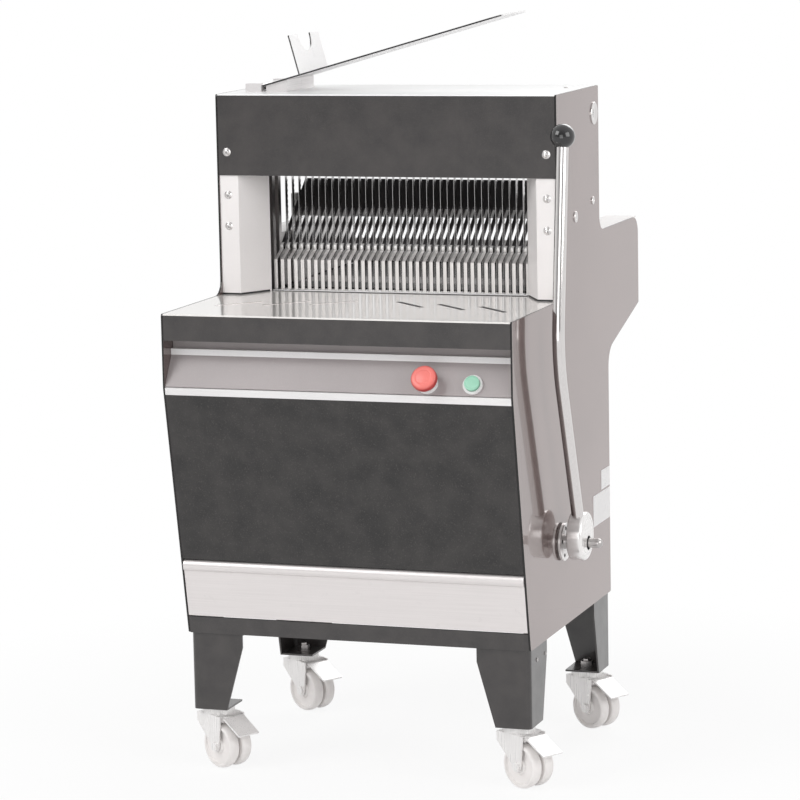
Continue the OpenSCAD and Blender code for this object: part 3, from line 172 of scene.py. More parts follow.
def paint(name, tone, second, speck, rough, peel, coat=0.0, coatRough=0.05, gloss=1.5, speckScale=900.0,
          spread=0.5, cloudScale=5.0, edge=None, tint=(1.0, 1.0, 1.0, 1.0)):
    p = paintSet
    f = Finish(name, Coat_Weight=coat, Coat_Roughness=coatRough, Coat_IOR=gloss, Coat_Tint=tint, IOR=p["ior"])
    cloud = f.noise(cloudScale, p["cloudDetail"])
    grain = f.noise(speckScale, p["grainDetail"])
    scuff = f.noise(*p["scuff"]).between(*p["scuffSpan"])
    worn = np.minimum(np.array(tone) * p["wornGain"] + p["wornLift"], 255)
    base = f.mix(tone, second, cloud.between(0.5 - spread / 2, 0.5 + spread / 2))
    base = f.mix(base, speck, grain.between(*p["speckSpan"]) * p["speckShare"])
    base = f.mix(base, worn, scuff * p["wornShare"])
    if edge:
        # painted shade: cut edges, which face along y or z, are painted dark and have no coat
        sheet = f.facing(0)
        base = f.mix(base, edge, 1 - sheet)
        f.feed(Coat_Weight=sheet * coat)
    f.feed(Base_Color=base, Roughness=rough + (cloud - 0.5) * p["roughCloud"] + scuff * p["roughScuff"]
           + (grain - 0.5) * p["roughGrain"])
    f.bump(f.noise(*p["peel"]) * p["peelShare"] + grain * p["grainShare"], peel, p["peelDepth"])
    return f.material


# brushed metal: long fine lines along one axis, soft clouds, small stains
brushSet = dict(thin=0.02, lineDetail=3.0, lineRough=0.6, cloud=(7.0, 4.0), stain=(60.0, 5.0, 0.65),
                stainSpan=(0.60, 0.78), lineSpan=(0.3, 0.7), lineShare=0.7, cloudShare=0.3, stainTone=0.85,
                stainShare=0.25, roughLine=0.22, roughCloud=0.12, roughStain=0.10, lineDepth=0.0002)


def brushed(name, tone, second, rough, along=0, lines=900.0, metal=1.0, depth=0.10, flank=None):
    b = brushSet
    f = Finish(name, Metallic=metal)
    stretch = [1.0, 1.0, 1.0]
    stretch[along] = b["thin"]
    line = f.noise(lines, b["lineDetail"], b["lineRough"], stretch)
    cloud = f.noise(*b["cloud"])
    stain = f.noise(*b["stain"]).between(*b["stainSpan"])
    base = f.mix(tone, second, line.between(*b["lineSpan"]) * b["lineShare"] + cloud * b["cloudShare"])
    base = f.mix(base, np.array(second) * b["stainTone"], stain * b["stainShare"])
    if flank:
        # painted shade: cut edges that face along y are painted dark
        base = f.mix(base, flank, f.facing(1))
    f.feed(Base_Color=base, Roughness=rough + (line - 0.5) * b["roughLine"] + (cloud - 0.5) * b["roughCloud"]
           + stain * b["roughStain"])
    f.bump(line, depth, b["lineDepth"])
    return f.material


# moulded plastic: faint flow clouds, fine grain, rubbed patches
mouldSet = dict(coatRough=0.08, ior=1.47, cloud=(14.0, 4.0), fine=(700.0, 2.0), rub=(70.0, 5.0, 0.65),
                rubSpan=(0.58, 0.78), cloudSpan=(0.3, 0.7), rubGain=1.12, rubLift=8, rubShare=0.3,
                shadeSpan=(0.0020, 0.0058), roughCloud=0.14, roughRub=0.10, grainDepth=0.0003)


def moulded(name, tone, second, rough=0.4, grain=0.10, coat=0.0, rim=None, out=None, top=0.0):
    m = mouldSet
    f = Finish(name, Coat_Weight=coat, Coat_Roughness=m["coatRough"], IOR=m["ior"])
    cloud = f.noise(*m["cloud"])
    fine = f.noise(*m["fine"])
    rub = f.noise(*m["rub"]).between(*m["rubSpan"])
    base = f.mix(tone, second, cloud.between(*m["cloudSpan"]))
    base = f.mix(base, np.minimum(np.array(tone) * m["rubGain"] + m["rubLift"], 255), rub * m["rubShare"])
    if rim:
        # painted shade: a button's colour darkens from its crown down, along its outward direction
        lift = f.at.node("ShaderNodeVectorMath", dict(operation="DOT_PRODUCT"), {0: f.at, 1: out}, 1)
        base = f.mix(base, rim, (top - lift).between(*m["shadeSpan"]))
    f.feed(Base_Color=base, Roughness=rough + (cloud - 0.5) * m["roughCloud"] + rub * m["roughRub"])
    f.bump(fine, grain, m["grainDepth"])
    return f.material


finishes = dict(
    # panel paint with painted shade on its cut edges
    panel_paint=paint("panelPaint", (94, 85, 84), (82, 74, 73), (108, 99, 98), rough=0.20, coat=1.0, gloss=1.48,
                      peel=0.03, edge=(20, 19, 19), tint=(1.0, 0.90, 0.88, 1.0)),
    dark_paint=paint("darkPaint", (58, 54, 53), (40, 37, 37), (86, 81, 79), rough=0.34, coat=0.55, coatRough=0.14,
                     gloss=1.5, peel=0.16, cloudScale=24.0, spread=0.4),
    light_paint=paint("lightPaint", (238, 234, 233), (228, 224, 223), (242, 239, 238), rough=0.32, peel=0.06),
    control_paint=paint("controlPaint", (164, 156, 156), (152, 145, 145), (178, 170, 170), rough=0.34, peel=0.08),
    trim=paint("trimPaint", (232, 230, 230), (222, 220, 220), (240, 238, 238), rough=0.30, peel=0.05),
    stainless=brushed("stainlessSheet", (214, 208, 206), (190, 185, 184), rough=0.26),
    machined_steel=brushed("machinedSteel", (196, 192, 191), (168, 165, 164), rough=0.32, along=1),
    blade_steel=brushed("bladeSteel", (226, 224, 224), (196, 194, 194), rough=0.22, along=2, lines=1400.0),
    chrome=brushed("chromeRod", (222, 219, 218), (205, 202, 201), rough=0.10, along=2, depth=0.03),
    aluminium=brushed("turnedAluminium", (246, 244, 243), (226, 224, 223), rough=0.20, along=1,
                      metal=0.7, depth=0.05),
    iron=paint("ironPaint", (72, 74, 78), (60, 62, 66), (90, 92, 95), rough=0.5, peel=0.4),
    light_nylon=moulded("lightNylon", (240, 236, 234), (230, 226, 224), rough=0.36),
    guide_plastic=moulded("guidePlastic", (228, 226, 220), (214, 212, 206), rough=0.5),
    black_plastic=moulded("blackPlastic", (46, 44, 45), (34, 33, 34), rough=0.5, grain=0.25),
    black_gloss=moulded("blackKnob", (26, 25, 26), (16, 16, 17), rough=0.14, coat=0.6, grain=0.03),
    red_plastic=moulded("redButton", (222, 86, 80), (210, 72, 68), rough=0.34, coat=0.2),
    green_plastic=moulded("greenButton", (132, 192, 162), (118, 178, 148), rough=0.34, coat=0.2),
    belt_rubber=moulded("beltRubber", (34, 33, 33), (26, 25, 25), rough=0.7, grain=0.4),
)


# finger steel: bright strip, painted shade on the leaf and a painted highlight on the clip, parted by height, with
# painted shade on the flanks
fingerLook = dict(metal=0.2, ior=1.5, line=(1300.0, 3.0, 0.6, (1, 1, 0.03)), cloud=(40.0, 3.0), stripSpan=(0.35, 0.7),
                  leafShadeSpan=(0.35, 0.65), clipHighlightSpan=(0.4, 0.6), kneeZ=(0.8215, 0.8235), clipZ=(0.8335, 0.8350),
                  flank=(52, 50, 49), rough=0.24, roughLine=0.18, roughCloud=0.10, bump=0.08, lineDepth=0.0002)


def fingerFinish(g):
    f = Finish("fingerSteel", Metallic=g["metal"], IOR=g["ior"])
    height = f.axis(2)
    line = f.noise(*g["line"])
    cloud = f.noise(*g["cloud"])
    base = f.mix((246, 242, 240), (222, 218, 216), line.between(*g["stripSpan"]))
    # painted shade on the leaf, painted highlight on the clip, painted shade on the flanks
    leaf = f.mix((240, 236, 234), (206, 202, 200), cloud.between(*g["leafShadeSpan"]))
    clip = f.mix((252, 250, 248), (216, 213, 212), line.between(*g["clipHighlightSpan"]))
    base = f.mix(base, leaf, height.between(*g["kneeZ"]))
    base = f.mix(base, clip, height.between(*g["clipZ"]))
    base = f.mix(base, g["flank"], f.facing(0))
    f.feed(Base_Color=base, Roughness=g["rough"] + (line - 0.5) * g["roughLine"] + (cloud - 0.5) * g["roughCloud"])
    f.bump(line, g["bump"], g["lineDepth"])
    return f.material


# trough sheet: floor painted dark as shade, with a painted light band across it, rear wall bright
troughLook = dict(shine=0.05, line=(700.0, 3.0, 0.6, (0.02, 1, 1)), smear=(9.0, 5.0, 0.6), floorShadeSpan=(0.35, 0.65),
                  lightBandFrom=(0.085, 0.105), lightBandTo=(0.170, 0.190), lightBand=(150, 147, 146), lightBandSpan=(0.1, 0.5),
                  wallSpan=(0.3, 0.7), wallZ=(0.7715, 0.7750), rough=0.45, roughSmear=0.2, roughLine=0.1, bump=0.05,
                  lineDepth=0.0002)


def troughFinish(g):
    f = Finish("troughSheet", Specular_IOR_Level=g["shine"])
    line = f.noise(*g["line"])
    smear = f.noise(*g["smear"])
    # painted shade: the floor is painted near black, with a painted light band across it
    floor = f.mix((36, 35, 34), (24, 23, 23), smear.between(*g["floorShadeSpan"]))
    lightBand = f.axis(1).between(*g["lightBandFrom"]) * (1 - f.axis(1).between(*g["lightBandTo"]))
    floor = f.mix(floor, g["lightBand"], lightBand * smear.between(*g["lightBandSpan"]))
    wall = f.mix((236, 233, 232), (220, 217, 216), line.between(*g["wallSpan"]))
    base = f.mix(floor, wall, f.axis(2).between(*g["wallZ"]))
    f.feed(Base_Color=base, Roughness=g["rough"] + (smear - 0.5) * g["roughSmear"] + (line - 0.5) * g["roughLine"])
    f.bump(line, g["bump"], g["lineDepth"])
    return f.material


# nodes whose look differs from that of their slot
zinc = brushed("zincSteel", (242, 240, 239), (226, 224, 223), rough=0.30, metal=0.35, along=2, lines=500.0,
               depth=0.04)
casterSteel = {kind + "_" + place: zinc for kind in ("fork", "pedal")
               for place in ("front_left", "front_right", "rear_left", "rear_right")}
ownFinishes = dict(
    **casterSteel,
    trough_floor=troughFinish(troughLook),
    out_table=brushed("tableSheet", (246, 243, 240), (238, 235, 232), rough=0.12, along=1, lines=500.0,
                      metal=0.45, depth=0.02),
    crumb_drawer=brushed("drawerSheet", (226, 221, 220), (219, 214, 213), rough=0.36, metal=0.4,
                         lines=420.0, depth=0.01),
    head_top_cover=brushed("topSheet", (252, 252, 252), (246, 246, 246), rough=0.35, metal=0.2,
                           lines=400.0, depth=0.02),
    lower_front_panel=paint("lowerPaint", (46, 43, 42), (26, 24, 24), (72, 67, 65), rough=0.42, coat=0.25,
                            coatRough=0.2, peel=0.2, cloudScale=26.0, spread=0.36, speckScale=420.0),
    pusher_plate=moulded("combPlate", (66, 63, 64), (52, 50, 51), rough=0.42, grain=0.2),
    # shovel sheet with painted shade on its cut edges
    shovel_plate=brushed("shovelSheet", (242, 241, 241), (232, 231, 231), rough=0.40, metal=0.3,
                         lines=500.0, depth=0.02, flank=(70, 68, 68)),
    shovel_bracket=brushed("bracketSteel", (232, 229, 229), (214, 211, 211), rough=0.34, metal=0.5,
                           along=1, depth=0.04),
    pusher_beam=brushed("beamSteel", (240, 238, 237), (226, 224, 223), rough=0.40, metal=0.3, depth=0.04),
    pusher_carriage=brushed("carriageSteel", (240, 238, 237), (226, 224, 223), rough=0.40, metal=0.3,
                            along=1, depth=0.04),
    trough_liners=brushed("linerSheet", (236, 233, 232), (222, 219, 218), rough=0.34, metal=0.4, along=1,
                          depth=0.03),
)
for part in record["subparts"]:
    own = nodes[part["node"]]
    own.data.materials.clear()
    own.data.materials.append(ownFinishes.get(part["node"], finishes[part["material_slot"]]))
print("finishes on", len(nodes), "nodes")


meshSet = dict(merge=1e-7, thin=1e-8)


def meshPiece(name, points, faces, slot, body, *replaced, smooth=None, finish=None):
    # machine points and faces as whole arrays; doubles are merged and faces turned outwards
    mesh = bpy.data.meshes.new(name)
    mesh.from_pydata(atMachine(points).reshape(-1, 3).tolist(), [], np.asarray(faces).tolist())
    work = bmesh.new()
    work.from_mesh(mesh)
    bmesh.ops.remove_doubles(work, verts=work.verts, dist=meshSet["merge"])
    bmesh.ops.dissolve_degenerate(work, edges=work.edges, dist=meshSet["thin"])
    bmesh.ops.recalc_face_normals(work, faces=work.faces)
    work.to_mesh(mesh)
    work.free()
    if smooth:
        mesh.polygons.foreach_set("use_smooth", np.ones(len(mesh.polygons), bool))
        mesh.set_sharp_from_angle(angle=math.radians(smooth))
    mesh.materials.append(finish or finishes[slot])
    mesh.update()
    piece = bpy.data.objects.new(name, mesh)
    bpy.context.scene.collection.objects.link(piece)
    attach(piece, body)
    if replaced:
        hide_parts(*replaced)


def gridFaces(rows, columns, closed=False):
    # quads between neighbouring rows; closed joins the last column to the first
    r = np.arange(rows - 1)[:, None]
    c = np.arange(columns if closed else columns - 1)[None, :]
    d = (c + 1) % columns
    corners = [r * columns + c, r * columns + d, (r + 1) * columns + d, (r + 1) * columns + c]
    return np.stack(corners, -1).reshape(-1, 4)


def copies(points, faces, shifts):
    # the same surface once for each shift
    n = points.reshape(-1, 3).shape[0]
    shifts = np.asarray(shifts, float)
    allPoints = (points.reshape(1, -1, 3) + shifts[:, None, :]).reshape(-1, 3)
    allFaces = (faces[None] + (np.arange(len(shifts)) * n)[:, None, None]).reshape(-1, faces.shape[1])
    return allPoints, allFaces


def together(*surfaces):
    # several surfaces as one
    points, faces, start = [], [], 0
    for p, f in surfaces:
        p = np.asarray(p, float).reshape(-1, 3)
        points.append(p)
        faces.append(np.asarray(f) + start)
        start += len(p)
    return np.concatenate(points), np.concatenate(faces)


def turned(profile, sides):
    # profile of radius and height, carried once round the z axis
    profile = np.asarray(profile, float)
    a = np.linspace(0, 2 * np.pi, sides, endpoint=False)
    r, h = profile[:, :1], profile[:, 1:]
    points = np.stack([r * np.cos(a), r * np.sin(a), h + 0 * a], -1)
    return points, gridFaces(len(profile), sides, closed=True)


def arc(centre, radius, start, end, steps):
    # points of a circle's arc, angles in degrees
    a = np.radians(np.linspace(start, end, steps + 1))
    return np.stack([centre[0] + radius * np.cos(a), centre[1] + radius * np.sin(a)], -1)


def seated(points, origin, out, across=None):
    # z of the surface along out, x along across or an axis that is not out, origin in machine millimetres
    out = np.asarray(out, float) / np.linalg.norm(out)
    across = np.eye(3)[np.argmin(np.abs(out))] if across is None else np.asarray(across, float)
    across = across - out * (across @ out)
    across /= np.linalg.norm(across)
    turn = np.stack([across, np.cross(out, across), out])
    return np.asarray(points).reshape(-1, 3) @ turn + np.asarray(origin, float)


def sweptBar(path, side, width, thick, edge, across):
    # rounded rectangle of width along across and thickness along side, carried along a path with mitred joints
    path = np.asarray(path, float)
    step = np.diff(path, axis=0)
    step /= np.linalg.norm(step, axis=1)[:, None]
    across = np.asarray(across, float)
    normal = np.cross(across, step)
    before = np.concatenate([normal[:1], normal])
    after = np.concatenate([normal, normal[-1:]])
    mitre = (before + after) / (1 + (before * after).sum(1))[:, None]
    corners = [arc((sx * (width / 2 - edge), sy * (thick / 2 - edge)), edge, a, a + 90, 3)
               for sx, sy, a in ((1, 1, 0), (-1, 1, 90), (-1, -1, 180), (1, -1, 270))]
    ring = np.concatenate(corners)
    lift = (ring[None, :, 1:] + side * thick / 2) * mitre[:, None, :]
    points = path[:, None, :] + ring[None, :, :1] * across + lift
    n = len(ring)
    faces = gridFaces(len(path), n, closed=True)
    fan = np.stack([0 * np.arange(1, n - 1), np.arange(1, n - 1), np.arange(2, n), np.arange(2, n)], -1)
    return points, np.concatenate([faces, fan[:, ::-1], fan + (len(path) - 1) * n])


# blades: flat strips with a scalloped and ground rear edge
bladeSet = dict(pitch=12.0, thick=0.6, front=109.0, rear=121.0, low=682.0, high=1028.0, wave=9.0, depth=1.5, grind=2.6,
                tip=0.06, plainEnd=20.0, fade=4.0, half=18, rowsPerWave=8)


def bladeShape(b):
    # six points round the strip; the rear edge moves in by depth times the square of a sine of height
    z = np.linspace(b["low"], b["high"], int((b["high"] - b["low"]) / b["wave"] * b["rowsPerWave"]) + 1)
    bite = b["depth"] * np.sin(np.pi * (z - b["low"]) / b["wave"]) ** 2
    inward = np.minimum(z - b["low"] - b["plainEnd"], b["high"] - b["plainEnd"] - z)
    held = np.clip(inward / b["fade"], 0, 1)
    edge = b["rear"] - bite * held
    ground = edge - b["grind"] * held
    front = np.full_like(z, b["front"])
    h, tip = b["thick"] / 2, b["tip"]
    x = np.array([-h, h, h, tip, -tip, -h])[None, :] * np.ones((len(z), 1))
    x[:, 3:5] = np.where(held[:, None] > 0, x[:, 3:5], np.array([h, -h]))
    y = np.stack([front, front, ground, edge, edge, ground], 1)
    points = np.stack([x, y, z[:, None] + 0 * x], -1)
    faces = gridFaces(len(z), 6, closed=True)
    last = (len(z) - 1) * 6
    caps = np.array([[0, 3, 2, 1], [0, 5, 4, 3], [last, last + 1, last + 2, last + 3],
                     [last, last + 3, last + 4, last + 5]])
    return points, np.concatenate([faces, caps])


def addBlades(b, name, first, body, node):
    points, faces = bladeShape(b)
    index = np.arange(first, 2 * b["half"] + 1, 2) - b["half"]
    points, faces = copies(points, faces, np.stack([index * b["pitch"], 0 * index, 0 * index], 1))
    meshPiece(name, points, faces, "blade_steel", body, node)


addBlades(bladeSet, "evenBlades", 0, "front_blades", "blades_front")
addBlades(bladeSet, "oddBlades", 1, "rear_blades", "blades_rear")
print("blades ground")

# pusher fingers: rounded strips with a bent knee, each with a clip that has a rolled bead and a lap under the plate
fingerSet = dict(pitch=12.0, count=38, width=6.5, thick=2.5, edge=0.8, front=71.0, foot=772.5, rise=50.0, leafRun=34.0,
                 leafRise=16.0, lap=30.0, slope=39.0, beadR=6.5, beadW=6.4, beadEdge=1.8, beadBack=2.0, beadUp=2.5,
                 beadSteps=4, beadSides=24, seam=4.3)


def addFingers(g):
    # the strip runs up to the knee and along the leaf; the clip runs on under the plate; the bead is turned
    lean = np.radians(g["slope"])
    knee = np.array([0, g["front"], g["foot"] + g["rise"]])
    knuckle = knee + np.array([0, g["leafRun"], g["leafRise"]])
    leaf = (knuckle - knee) / np.linalg.norm(knuckle - knee)
    lapEnd = knuckle + g["lap"] * np.array([0, np.cos(lean), np.sin(lean)])
    section = (-1, g["width"], g["thick"], g["edge"], (1, 0, 0))
    strip = sweptBar([[0, g["front"], g["foot"]], knee, knuckle - leaf * g["seam"]], *section)
    clip = sweptBar([knuckle, lapEnd], *section)
    half, e, steps = g["beadW"] / 2, g["beadEdge"], g["beadSteps"]
    rolled = [arc((g["beadR"] - e, e - half), e, -90, 0, steps), arc((g["beadR"] - e, half - e), e, 0, 90, steps)]
    pin, pinFaces = turned(np.concatenate([[[0, -half]], *rolled, [[0, half]]]), g["beadSides"])
    pin = seated(pin, knuckle + np.array([0, g["beadBack"], g["beadUp"]]), (1, 0, 0), (0, 0, 1))
    points, faces = together(strip, clip, (pin, pinFaces))
    x = (np.arange(g["count"]) - (g["count"] - 1) / 2) * g["pitch"]
    points, faces = copies(points, faces, np.stack([x, 0 * x, 0 * x], 1))
    meshPiece("pusherFingerRow", points, faces, "stainless", "pusher", "pusher_fingers", smooth=35,
              finish=fingerFinish(fingerLook))


addFingers(fingerSet)
print("fingers bent")

# lever: round bar with one smooth bend, and a ball with a flat seat and a shallow parting line
rodSet = dict(r=10.0, x=328.0, axisZ=374.0, start=20.0, bendReach=122.0, bendRise=322.0, knobReach=79.0, knobRise=671.0,
              bendR=240.0, bendSteps=25, sides=48, spigotR=6.0, spigot=14.0, knobR=20.0, knobSteps=36, knobSides=64,
              groove=0.25, grooveAt=-4.0, grooveWide=0.5, boreGap=0.05, boreOver=1.0)


def leverLine(g):
    # straight leg, arc, straight leg in the plane of the lever, as distance back and height
    corner = np.array([-g["bendReach"], g["bendRise"]])
    ball = np.array([-g["knobReach"], g["knobRise"]])
    low = corner / np.linalg.norm(corner)
    high = (ball - corner) / np.linalg.norm(ball - corner)
    turn = np.arccos(low @ high)
    first = corner - low * g["bendR"] * np.tan(turn / 2)
    back = np.array([low[1], -low[0]])
    a = np.linspace(0, turn, g["bendSteps"])[:, None]
    bend = first + g["bendR"] * (np.sin(a) * low + (1 - np.cos(a)) * back)
    seat = np.sqrt(g["knobR"] ** 2 - g["r"] ** 2)
    return np.concatenate([[low * g["start"]], bend, [ball - high * seat]]), high, ball, seat


def addLever(g):
    # bar: a circle carried along the line, stepped down to a spigot; ball: an arc with a bell-shaped groove, turned
    line, high, ball, seat = leverLine(g)
    path = np.column_stack([np.full(len(line), g["x"]), line[:, 0], line[:, 1] + g["axisZ"]])
    step = np.gradient(path, axis=0)
    step[0], step[-1] = path[1] - path[0], path[-1] - path[-2]
    step /= np.linalg.norm(step, axis=1)[:, None]
    across = np.array([1.0, 0, 0])
    normal = np.cross(across, step)
    a = np.linspace(0, 2 * np.pi, g["sides"], endpoint=False)[None, :, None]
    body = path[:, None, :] + g["r"] * (np.cos(a) * across + np.sin(a) * normal[:, None, :])
    tip = path[-1] + step[-1] * g["spigot"]
    small = g["spigotR"] / g["r"] * (body[-1] - path[-1])
    rings = [path[0] + 0 * body[0], *body, path[-1] + small, tip + small, tip + 0 * body[0]]
    faces = gridFaces(len(rings), g["sides"], closed=True)
    meshPiece("leverBar", np.stack(rings), faces, "chrome", "lever", "lever_rod", smooth=30)
    low = np.degrees(np.arccos(g["r"] / g["knobR"]))
    ballArc = arc((0, 0), g["knobR"], -low, 90, g["knobSteps"])
    groove = g["groove"] * np.exp(-((ballArc[:, 1] - g["grooveAt"]) / g["grooveWide"]) ** 2)
    ballArc[:, 0] = np.maximum(ballArc[:, 0] - groove, 0)
    bore, boreEnd = g["spigotR"] + g["boreGap"], g["boreOver"] + g["spigot"] - seat
    points, faces = turned(np.concatenate([[[0, boreEnd], [bore, boreEnd], [bore, -seat]], ballArc]), g["knobSides"])
    points = seated(points, (g["x"], ball[0], ball[1] + g["axisZ"]), (0, high[0], high[1]))
    meshPiece("leverBall", points, faces, "black_gloss", "lever", "lever_knob", smooth=40)


addLever(rodSet)
print("lever bent")

# push buttons on the slanted panel: mushroom cap with a rounded rim and a ring, flat cap with a raised edge
buttonSet = dict(panelY=-244.0, panelZ=676.0, drop=10.0, slopeY=30.0, slopeZ=48.0)
# the stop cap's light tones paint a highlight on its crown, and its rim colour is painted shade
stopSet = dict(x=152.0, r=21.0, lift=16.05, t=14.0, boreR=5.05, boreDeep=7.0, lowRound=2.0, rimRound=4.4,
               rimDown=6.6, rimTurn=82, crownIn=4.2, crownDrop=2.2, crownSteps=56, ringDeep=0.5, ringAt=0.74,
               ringWide=0.04, sides=64, tones=((238, 128, 120), (230, 112, 104)), rim=(172, 40, 38), coat=0.2)
# the start cap's rim colour is painted shade
startSet = dict(x=227.0, r=12.5, lift=4.7, t=7.0, stemR=8.0, stem=25.7, round=1.2, lipIn=2.4, dishIn=3.0, dishDeep=0.7,
                dishMiddle=0.5, sides=56, tones=((158, 210, 186), (144, 198, 172)), rim=(70, 132, 104), coat=0.2)


def stopProfile(g):
    # bore, two rounded rims, and a crown that falls with the square of the radius, less a bell-shaped ring
    r, h, low = g["r"], g["t"], g["lowRound"]
    u = np.linspace(0, 1, g["crownSteps"])
    ring = g["ringDeep"] * np.exp(-((1 - u - g["ringAt"]) / g["ringWide"]) ** 2)
    crown = np.column_stack([(r - g["crownIn"]) * (1 - u), h - g["crownDrop"] * (1 - u) ** 2 - ring])
    return np.concatenate([[[0, g["boreDeep"]], [g["boreR"], g["boreDeep"]], [g["boreR"], 0.0]],
                           arc((r - low, low), low, -90, 0, 5),
                           arc((r - g["rimRound"], h - g["rimDown"]), g["rimRound"], 0, g["rimTurn"], 8), crown])


def startProfile(g):
    # stem, flat underside, rounded edge, and a shallow dish inside the lip
    r, h, e = g["r"], g["t"], g["round"]
    return np.concatenate([[[0, -g["stem"]], [g["stemR"], -g["stem"]], [g["stemR"], 0.0], [r, 0.0]],
                           arc((r - e, h - e), e, 0, 90, 5),
                           [[r - g["lipIn"], h], [r - g["dishIn"], h - g["dishDeep"]], [0, h - g["dishMiddle"]]]])


def addButton(panel, g, profile, name, look, slot, body, node):
    # the profile turned about the panel's outward direction
    t = math.atan2(panel["slopeY"], panel["slopeZ"])
    out = (0, -math.cos(t), math.sin(t))
    place = (g["x"], panel["panelY"] - panel["drop"] * math.sin(t), panel["panelZ"] - panel["drop"] * math.cos(t))
    points, faces = turned(profile, g["sides"])
    points = seated(points + np.array([0, 0, g["lift"]]), place, out)
    top = atMachine(place) @ np.array(out) + (g["lift"] + g["t"]) / machine["perMetre"]
    finish = moulded(look, *g["tones"], coat=g["coat"], rim=g["rim"], out=out, top=top)
    meshPiece(name, points, faces, slot, body, node, smooth=40, finish=finish)


addButton(buttonSet, stopSet, stopProfile(stopSet), "stopMushroom", "stopRed", "red_plastic", "stop_head",
          "stop_cap")
addButton(buttonSet, startSet, startProfile(startSet), "startCap", "startGreen", "green_plastic", "start",
          "start_button")
print("buttons turned")

# screws with domed heads and a round socket; flat plugs in the right panel
screwSet = dict(headR=7.0, headT=3.0, headFoot=0.3, domeR=11.0, domeFrom=39, domeTo=73.2, domeSteps=8, socketR=2.6,
                socketT=1.6, socketCone=0.4, shankR=2.5, shank=8.0, sides=32, x=277.0, bandZ=1009.0,
                pillarZ=(937.0, 885.0), pillarY=2.0, plugs=((221, 1060, 17), (209, 915, 6), (104, 898, 8.5)),
                panelX=295.0, plugDeep=4.0, plugT=2.0, plugOver=1.12, plugChamfer=0.6, plugRing=0.55, plugDish=0.5,
                plugSunk=0.4, plugSides=48)


def screwShape(g):
    # shank, arc of a circle stretched to the head's radius, and a round socket that ends in a cone
    t, floor = g["headT"], g["headT"] - g["socketT"]
    dome = arc((0, t - g["domeR"]), g["domeR"], g["domeFrom"], g["domeTo"], g["domeSteps"])
    dome = dome * np.array([g["headR"] / dome[0, 0], 1.0])
    dome[:, 1] += t - dome[-1, 1]
    shank = [[0, -g["shank"]], [g["shankR"], -g["shank"]], [g["shankR"], 0], [g["headR"] - g["headFoot"], 0]]
    socket = [[g["socketR"], t], [g["socketR"], floor], [0, floor - g["socketCone"]]]
    return turned(np.concatenate([shank, np.maximum(dome, [0, g["headFoot"]]), socket]), g["sides"])


def plugShape(g, r):
    # stem of radius r, wider head with a chamfer, and a shallow dish inside a ring
    over, t, low, edge = r * g["plugOver"], g["plugT"], g["plugT"] - g["plugSunk"], g["plugChamfer"]
    stem = [[0, -g["plugDeep"]], [r, -g["plugDeep"]], [r, 0]]
    head = [[over, 0], [over, t - edge], [over - edge, t], [over * g["plugRing"], t]]
    return turned([*stem, *head, [over * g["plugDish"], low], [0, low]], g["plugSides"])


def addScrews(g):
    head, faces = screwShape(g)
    spots = [(0, g["bandZ"]), *((g["pillarY"], z) for z in g["pillarZ"])]
    surfaces = [(seated(head, (side * g["x"], y, z), (0, -1, 0)), faces) for side in (-1, 1) for y, z in spots]
    for y, z, r in g["plugs"]:
        plug, plugFaces = plugShape(g, r)
        surfaces.append((seated(plug, (g["panelX"], y, z), (1, 0, 0)), plugFaces))
    meshPiece("screwHeads", *together(*surfaces), "chrome", "casing", "screws", smooth=35)


addScrews(screwSet)
print("screws set")

# caster wheels: rounded tread, raised rim and dished web
casterSet = dict(x=261.0, front=-144.0, rear=262.0, turn=-30.0, trail=22.0, r=37.5, width=20.0, gap=3.0, bore=4.05,
                 boss=1.2, tread=4.5, treadSteps=16, sides=72, rim=((6.5, 0.2), (7.2, 1.6), (8.6, 3.6), (10.0, 4.0)),
                 web=((15.5, 4.4), (13.5, 4.0), (12.2, 1.6), (11.2, 0.4), (8.2, 0.2), (7.6, 1.2)))


def wheelShape(g):
    # the tread is half an ellipse; the outer face steps in from the rim to a dish and back out to the boss
    r, w, bore, deep = g["r"], g["width"], g["bore"], g["tread"]
    tread = arc((0, 0), 1.0, -90, 90, g["treadSteps"]) * np.array([deep, w / 2]) + np.array([r - deep, w / 2])
    rim = [[r - inside, w - under] for inside, under in g["rim"]]
    web = [[radius, w - under] for radius, under in g["web"]]
    boss = [[bore, w - g["boss"]]]
    return turned(np.concatenate([boss, [[bore, 0.0]], tread, rim, web, boss]), g["sides"])


def addWheels(g):
    wheel, faces = wheelShape(g)
    a = math.radians(g["turn"])
    ahead = np.array([math.cos(a), math.sin(a), 0])
    side = np.array([-math.sin(a), math.cos(a), 0])
    for end in ("front", "rear"):
        for hand, sign in (("left", -1), ("right", 1)):
            name = end + "_" + hand
            axle = np.array([sign * g["x"], g[end], g["r"]]) + ahead * g["trail"]
            pair = [(seated(wheel, axle + s * side * g["gap"], s * side, ahead), faces) for s in (-1, 1)]
            meshPiece("wheelPair." + name, *together(*pair), "light_nylon", "rollers_" + name, "wheels_" + name,
                      smooth=35)


addWheels(casterSet)
print("wheels turned")


def boxes(places):
    # closed boxes between opposite corners, one pair of corners for each
    low, high = np.asarray(places, float).transpose(1, 0, 2)
    pick = np.array([[0, 0, 0], [1, 0, 0], [1, 1, 0], [0, 1, 0], [0, 0, 1], [1, 0, 1], [1, 1, 1], [0, 1, 1]])
    points = np.where(pick[None] == 1, high[:, None], low[:, None])
    quads = np.array([[0, 3, 2, 1], [4, 5, 6, 7], [0, 1, 5, 4], [1, 2, 6, 5], [2, 3, 7, 6], [3, 0, 4, 7]])
    return points.reshape(-1, 3), (quads[None] + 8 * np.arange(len(low))[:, None, None]).reshape(-1, 4)


# strips in the crumb slits: dark ones on the right half of the table paint the shade in the slits, bright ones on the
# left paint a reflection
slitSet = dict(firstX=36.0, firstY=-46.0, shiftX=76.0, shiftY=-18.0, turn=-45.0, length=85.0, width=8.0, clear=0.1,
               top=770.2, thick=1.6, count=3)


